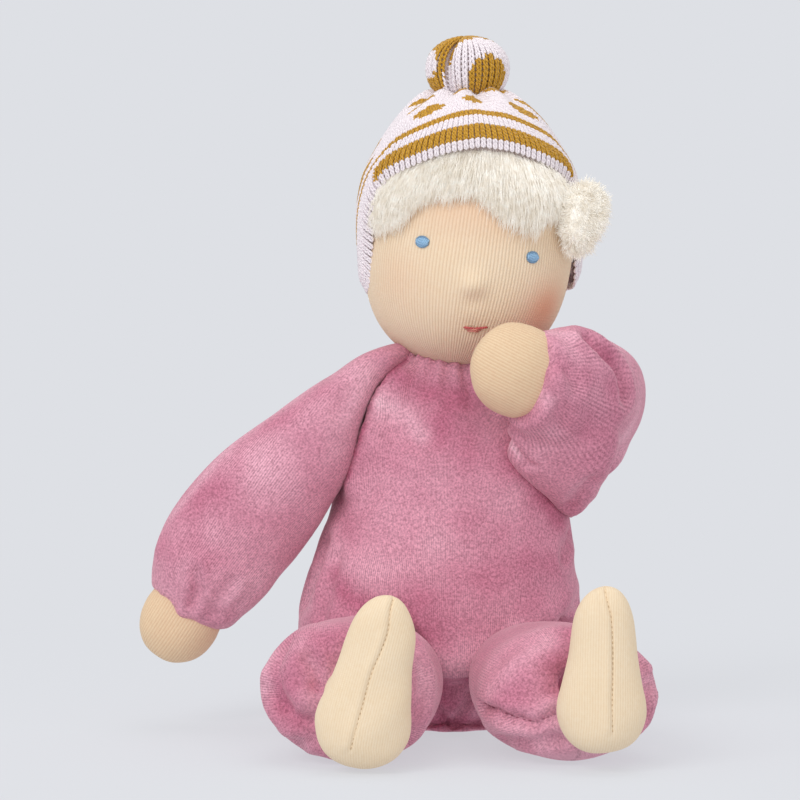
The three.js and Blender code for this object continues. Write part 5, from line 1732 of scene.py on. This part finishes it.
def hair_paths(rng, roots, tips, outs, lift, curl):
    """Paths of hairs from roots to tips, each with its own soft curl."""
    count = len(roots)
    share = np.linspace(0, 1, HAIR_STEPS)[None, :, None]
    arch = np.sin(share * math.pi) * rng.uniform(0.3, 1, (count, 1, 1)) * lift
    wave = rng.normal(size=(count, 1, 3)) * curl
    turn = rng.uniform(0, FULL_TURN, (count, 1, 1))
    sway = np.sin(share * FULL_TURN * rng.uniform(0.5, 1.3, (count, 1, 1)) + turn) - np.sin(turn)
    return roots[:, None] + (tips - roots)[:, None] * share + outs[:, None] * arch + wave * sway * share


def make_fringe(settings):
    """Brushed mohair that puffs out from under the hat and ends over the forehead in fine tips."""
    rng = np.random.default_rng(41)
    first, last = FRINGE_TURNS
    turns, drops = np.meshgrid(
        np.linspace(first, last, FRINGE_GRID[0]), np.linspace(0, 0.93, FRINGE_GRID[1])
    )
    lock = np.sin(np.radians(turns) * 26 + np.sin(drops * 3 + np.radians(turns) * 9) * 1.4)
    fine = np.sin(np.radians(turns) * 71 + drops * 4 + np.sin(np.radians(turns) * 23) * 2)
    round_off = np.sqrt(np.clip(1 - (2 * (turns - first) / (last - first) - 1) ** 6, 0, 1))
    thick = np.sin(np.clip(0.3 + drops * 0.75, 0, 1) * math.pi) ** 0.7 * round_off
    thick = thick * (PUFF_THICKNESS + (lock * 0.5 + fine * 0.22) * MM)
    outer = fringe_place(turns, drops, thick + 0.3 * MM)
    inner = fringe_place(turns, drops, np.full_like(turns, 0.1 * MM))
    both = [outer.transpose(1, 0, 2), inner.transpose(1, 0, 2)[:, ::-1]]
    puff = grid_object("fringe_puff", np.concatenate(both, axis=1))
    dress(puff, "mohair_yarn")
    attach(puff, "head")
    count = settings.strand_count
    turn = rng.uniform(first, last, count)
    drop = rng.uniform(0, 0.9, count) ** 0.8
    locks = np.sort(rng.uniform(first, last, FRINGE_LOCKS))
    nearest = locks[np.argmin(np.abs(turn[:, None] - locks[None]), axis=1)]
    long_way = np.clip(drop + rng.uniform(0.2, 0.5, count), 0, 1.0 + np.abs(rng.normal(0, 0.11, count)))
    tip_turn = turn + (nearest - turn) * rng.uniform(0.1, 0.9, count) * drop + rng.normal(0, 1.6, count)
    depth = np.sin(np.clip(0.3 + drop * 0.75, 0, 1) * math.pi) ** 0.7 * PUFF_THICKNESS
    roots = fringe_place(turn, drop, depth * 0.8)
    tips = fringe_place(tip_turn, long_way, rng.uniform(0.2, 1.6, count) * depth + 0.5 * MM)
    outs = (roots - HEAD_CENTRE) / np.linalg.norm(roots - HEAD_CENTRE, axis=1)[:, None]
    paths = hair_paths(rng, roots, tips, outs, 1.6 * MM, 0.5 * MM)
    piece = tubes("fringe_strands", paths, HAIR_TAPER_SHARES * HAIR_RADIUS, 3)
    dress(piece, "mohair_yarn")
    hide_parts("hair_fringe")
    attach(piece, "head")


# Middle of each lock of the side tuft in pixels, then its depth behind the face and radius in millimetres
TUFT_LOCKS = [
    ((584, 199), 22, 7.2), ((596, 202), 24, 5.0), ((589, 217), 20, 7.0), ((583, 234), 19, 6.0),
    ((576, 249), 19, 4.4), ((574, 212), 17, 6.0), ((572, 228), 16, 5.2),
]
TUFT_DEPTH = 40 * MM
TUFT_MESH = 0.9 * MM
TUFT_LUMP = 2.6 * MM
# Hairs of the tuft hang a little
TUFT_HANG = np.array([0.1, 0, -0.45])


def make_tuft(settings):
    """The fluffy tuft at the side of the head: soft locks with fine hairs standing out all round."""
    rng = np.random.default_rng(43)
    front = HEAD_CENTRE[1] - TUFT_DEPTH
    middles = np.array([from_pixel(pixel, front + behind * MM) for pixel, behind, _ in TUFT_LOCKS])
    sizes = np.array([size for _, _, size in TUFT_LOCKS]) * MM
    blob = bpy.data.metaballs.new("tuft_form")
    blob.resolution = 0.0016
    for middle, size in zip(middles, sizes):
        ball = blob.elements.new()
        ball.co = middle
        ball.radius = size * 1.35
    form = bpy.data.objects.new("tuft_form", blob)
    bpy.context.scene.collection.objects.link(form)
    graph = bpy.context.evaluated_depsgraph_get()
    puff = bpy.data.objects.new("tuft_puff", bpy.data.meshes.new_from_object(form.evaluated_get(graph)))
    bpy.context.scene.collection.objects.link(puff)
    bpy.data.objects.remove(form)
    bpy.data.metaballs.remove(blob)
    remeshed(puff, TUFT_MESH, 3)
    lumps = ripple(positions(puff), TUFT_LUMP, 45) * 0.5 * MM
    move_to(puff, positions(puff) + vertex_normals(puff) * lumps[:, None])
    dress(puff, "mohair_yarn")
    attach(puff, "head")
    count = settings.strand_count // 2
    points, normals = positions(puff), vertex_normals(puff)
    chosen = rng.integers(0, len(points), count)
    roots, outs = points[chosen], normals[chosen]
    ways = outs + TUFT_HANG + rng.normal(0, 0.35, (count, 3))
    ways /= np.linalg.norm(ways, axis=1)[:, None]
    tips = roots + ways * rng.uniform(1.2, 3.8, count)[:, None] * MM
    paths = hair_paths(rng, roots - outs * 0.3 * MM, tips, outs, 0.5 * MM, 0.5 * MM)
    piece = tubes("side_tuft_strands", paths, HAIR_TAPER_SHARES * HAIR_RADIUS, 3)
    dress(piece, "mohair_yarn")
    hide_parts("hair_side_tuft")
    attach(piece, "head")


# Operators


class DOLL_OT_stage(bpy.types.Operator):
    """Camera, soft studio light and a plain pale floor"""

    bl_idname = "doll.stage"
    bl_label = "Stage"

    def execute(self, context):
        scene = context.scene
        scene.view_settings.view_transform = "Standard"
        camera_data = bpy.data.cameras.new("camera")
        camera_data.lens = LENS
        camera_data.sensor_width = SENSOR
        camera_data.clip_end = 20
        camera = bpy.data.objects.new("camera", camera_data)
        scene.collection.objects.link(camera)
        camera.location = Vector(VIEW_PLACE)
        camera.rotation_euler = (math.pi / 2 - VIEW_RISE, 0, 0)
        scene.camera = camera
        make_world(scene)
        make_floor()
        for name, place, side, power in LAMPS:
            lamp(name, place, side, power)
        return {"FINISHED"}


BACKGROUND = "DEE0E5"
SKY_STRENGTH = 0.72
# Place and side in metres, and power in watts
LAMPS = [
    ("key", (-0.9, -1.3, 1.2), 0.9, 13.0), ("fill", (0.7, -1.6, 0.3), 1.1, 5.0),
    ("top", (0.1, 0.1, 1.6), 0.9, 4.0),
]
FLOOR_REACH = 6.0
# The floor's shadow fades into the background between these distances from the doll
SHADOW_NEAR = 0.14
SHADOW_FAR = 0.34


def make_world(scene):
    """A plain sky: the background's colour for the camera, soft white light for the rest."""
    world = bpy.data.worlds.new("studio")
    scene.world = world
    world.use_nodes = True
    tree = world.node_tree
    tree.nodes.clear()
    path = add_node(tree, "ShaderNodeLightPath")
    soft = add_node(tree, "ShaderNodeBackground", {"Color": WHITE, "Strength": SKY_STRENGTH})
    seen = add_node(tree, "ShaderNodeBackground", {"Color": linear(BACKGROUND), "Strength": 1.0})
    links = {0: path.outputs["Is Camera Ray"], 1: soft, 2: seen}
    both = add_node(tree, "ShaderNodeMixShader", links)
    add_node(tree, "ShaderNodeOutputWorld", {"Surface": both})


def make_floor():
    """A wide pale floor that keeps a soft shadow and runs into the background."""
    corners = np.array([[-1, -1, 0], [1, -1, 0], [1, 1, 0], [-1, 1, 0]]) * FLOOR_REACH
    floor = mesh_object("floor", corners, np.array([[0, 1, 2, 3]]))
    material, tree = new_material("Matt paper")
    matt = add_node(tree, "ShaderNodeBsdfDiffuse", {"Color": linear(BACKGROUND)})
    glow = add_node(tree, "ShaderNodeEmission", {"Color": linear(BACKGROUND), "Strength": 1.0})
    place = add_node(tree, "ShaderNodeTexCoord").outputs["Object"]
    far = add_node(tree, "ShaderNodeVectorMath", {0: place}, operation="LENGTH").outputs["Value"]
    links = {"Value": far, "From Min": SHADOW_NEAR, "From Max": SHADOW_FAR}
    far = add_node(tree, "ShaderNodeMapRange", links)
    share = add_node(tree, "ShaderNodeMath", {0: far, 1: 0.3, 2: 0.7}, operation="MULTIPLY_ADD")
    both = add_node(tree, "ShaderNodeMixShader", {0: share, 1: matt, 2: glow})
    finish_material(tree, both)
    floor.data.materials.append(material)


def lamp(name, place, side, power):
    """A square soft light that points at the doll."""
    data = bpy.data.lights.new(name, "AREA")
    data.energy = power
    data.size = side
    lamp_object = bpy.data.objects.new(name, data)
    lamp_object.location = place
    lamp_object.rotation_euler = (Vector(VIEW_TARGET) - Vector(place)).to_track_quat("-Z", "Y").to_euler()
    bpy.context.scene.collection.objects.link(lamp_object)


class DOLL_OT_suit(bpy.types.Operator):
    """Velour body, sleeves and trouser legs"""

    bl_idname = "doll.suit"
    bl_label = "Velour suit"

    def execute(self, context):
        suit = context.scene.doll_suit
        pitch = suit.cloth_pitch * 1
        torso = make_torso(suit.fold_depth, pitch)
        keep_rest(torso)
        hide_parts("torso_cover", "torso_filling")
        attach(dress(torso, "rose_velour"), "torso")
        right_across = -joint_axis("right_elbow")
        left_across = joint_axis("left_wrist")
        for side, tables, across, folds, painted_light in (
            ("right", [RIGHT_SLEEVE], right_across, RIGHT_SLEEVE_FOLDS, RIGHT_SLEEVE_PAINTED_LIGHT),
            ("left", [LEFT_SLEEVE, LEFT_GUSSET], left_across, LEFT_SLEEVE_FOLDS, LEFT_SLEEVE_PAINTED_LIGHT),
        ):
            sleeve = make_sleeve(side, tables, across, folds, painted_light, suit.fold_depth, pitch)
            keep_rest(sleeve)
            parts = ("upper_sleeve", "upper_arm_filling", "lower_sleeve", "forearm_filling")
            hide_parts(*[f"{side}_{part}" for part in parts])
            dress(sleeve, "rose_velour")
            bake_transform(sleeve)
            if side == "left":
                hem = seam_stitches("left_hem_stitches", sleeve, LEFT_HEM, "rose_thread", None)
                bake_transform(hem)
        for side, folds in (("right", RIGHT_LEG_FOLDS), ("left", LEFT_LEG_FOLDS)):
            leg = make_leg(side, folds, suit.fold_depth, pitch)
            keep_rest(leg)
            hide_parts(f"{side}_leg_cover", f"{side}_leg_filling")
            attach(dress(leg, "rose_velour"), f"{side}_leg")
            if side == "left":
                stitches = seam_stitches("left_leg_stitches", leg, LEG_CREASE, "rose_thread", None)
                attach(stitches, "left_leg")
        return {"FINISHED"}


def heading(turn_degrees, rise_degrees):
    """A direction from a compass turn (0 is +X, 90 is +Y) and a rise above the level."""
    turn, rise = math.radians(turn_degrees), math.radians(rise_degrees)
    return np.array([math.cos(rise) * math.cos(turn), math.cos(rise) * math.sin(turn), math.sin(rise)])


# Turn and rise that each hand points to
HAND_HEADINGS = {"right": (196, -57), "left": (200, 25)}


class DOLL_OT_limbs(bpy.types.Operator):
    """Jersey hands and stuffed feet"""

    bl_idname = "doll.limbs"
    bl_label = "Hands and feet"

    def execute(self, context):
        make_hand("right", heading(*HAND_HEADINGS["right"]), -joint_axis("right_wrist"))
        make_hand("left", heading(*HAND_HEADINGS["left"]), joint_axis("left_wrist"))
        for side in ("right", "left"):
            make_foot(side)
        return {"FINISHED"}


class DOLL_OT_head(bpy.types.Operator):
    """Jersey head with its nose, eyes, mouth and blush"""

    bl_idname = "doll.head"
    bl_label = "Head and face"

    def execute(self, context):
        make_head()
        make_neck()
        make_eye("right", FACE_TURN - EYE_TURN)
        make_eye("left", FACE_TURN + EYE_TURN)
        make_mouth()
        return {"FINISHED"}


class DOLL_OT_hair(bpy.types.Operator):
    """Mohair fringe and side tuft"""

    bl_idname = "doll.hair"
    bl_label = "Hair"

    def execute(self, context):
        make_fringe(context.scene.doll_hat)
        make_tuft(context.scene.doll_hat)
        return {"FINISHED"}


class DOLL_OT_hat(bpy.types.Operator):
    """Knitted hat with bands and patches of mustard, and its bobble"""

    bl_idname = "doll.hat"
    bl_label = "Hat and bobble"

    def execute(self, context):
        make_hat(context.scene.doll_hat)
        make_bobble(context.scene.doll_hat)
        return {"FINISHED"}


class DOLL_OT_frame_finish(bpy.types.Operator):
    """Gives each piece of the frame its finish; of these only the ankles' threads stay in sight"""

    bl_idname = "doll.frame_finish"
    bl_label = "Frame's own pieces"

    def execute(self, context):
        slots = {row["node"]: row["material_slot"] for row in frame["record"]["subparts"]}
        for name, node in frame["nodes"].items():
            node.data.materials.clear()
            node.data.materials.append(material_for(slots[name]))
        return {"FINISHED"}


class DOLL_PT_panel(bpy.types.Panel):
    """Settings and pieces of the doll"""

    bl_idname = "DOLL_PT_panel"
    bl_label = "Doll"
    bl_space_type = "VIEW_3D"
    bl_region_type = "UI"
    bl_category = "Doll"

    def draw(self, context):
        layout = self.layout
        for settings in (context.scene.doll_suit, context.scene.doll_skin, context.scene.doll_hat):
            column = layout.column(align=True)
            for name in settings.bl_rna.properties.keys():
                if name not in ("rna_type", "name"):
                    column.prop(settings, name)
        for operator in OPERATORS:
            layout.operator(operator.bl_idname)


OPERATORS = (
    DOLL_OT_stage, DOLL_OT_frame_finish, DOLL_OT_suit, DOLL_OT_limbs, DOLL_OT_head, DOLL_OT_hair, DOLL_OT_hat,
)
CLASSES = (SuitSettings, SkinSettings, HatSettings, *OPERATORS, DOLL_PT_panel)


def register():
    """Registers the classes and the scene's settings."""
    for each in CLASSES:
        bpy.utils.register_class(each)
    bpy.types.Scene.doll_suit = bpy.props.PointerProperty(type=SuitSettings)
    bpy.types.Scene.doll_skin = bpy.props.PointerProperty(type=SkinSettings)
    bpy.types.Scene.doll_hat = bpy.props.PointerProperty(type=HatSettings)


def unregister():
    """Removes the settings and the classes."""
    for name in ("doll_suit", "doll_skin", "doll_hat"):
        delattr(bpy.types.Scene, name)
    for each in reversed(CLASSES):
        bpy.utils.unregister_class(each)


def main():
    """Builds every piece in order."""
    register()
    bpy.ops.doll.stage()
    bpy.ops.doll.frame_finish()
    bpy.ops.doll.suit()
    bpy.ops.doll.limbs()
    bpy.ops.doll.head()
    bpy.ops.doll.hair()
    bpy.ops.doll.hat()


if __name__ == "__main__":
    main()
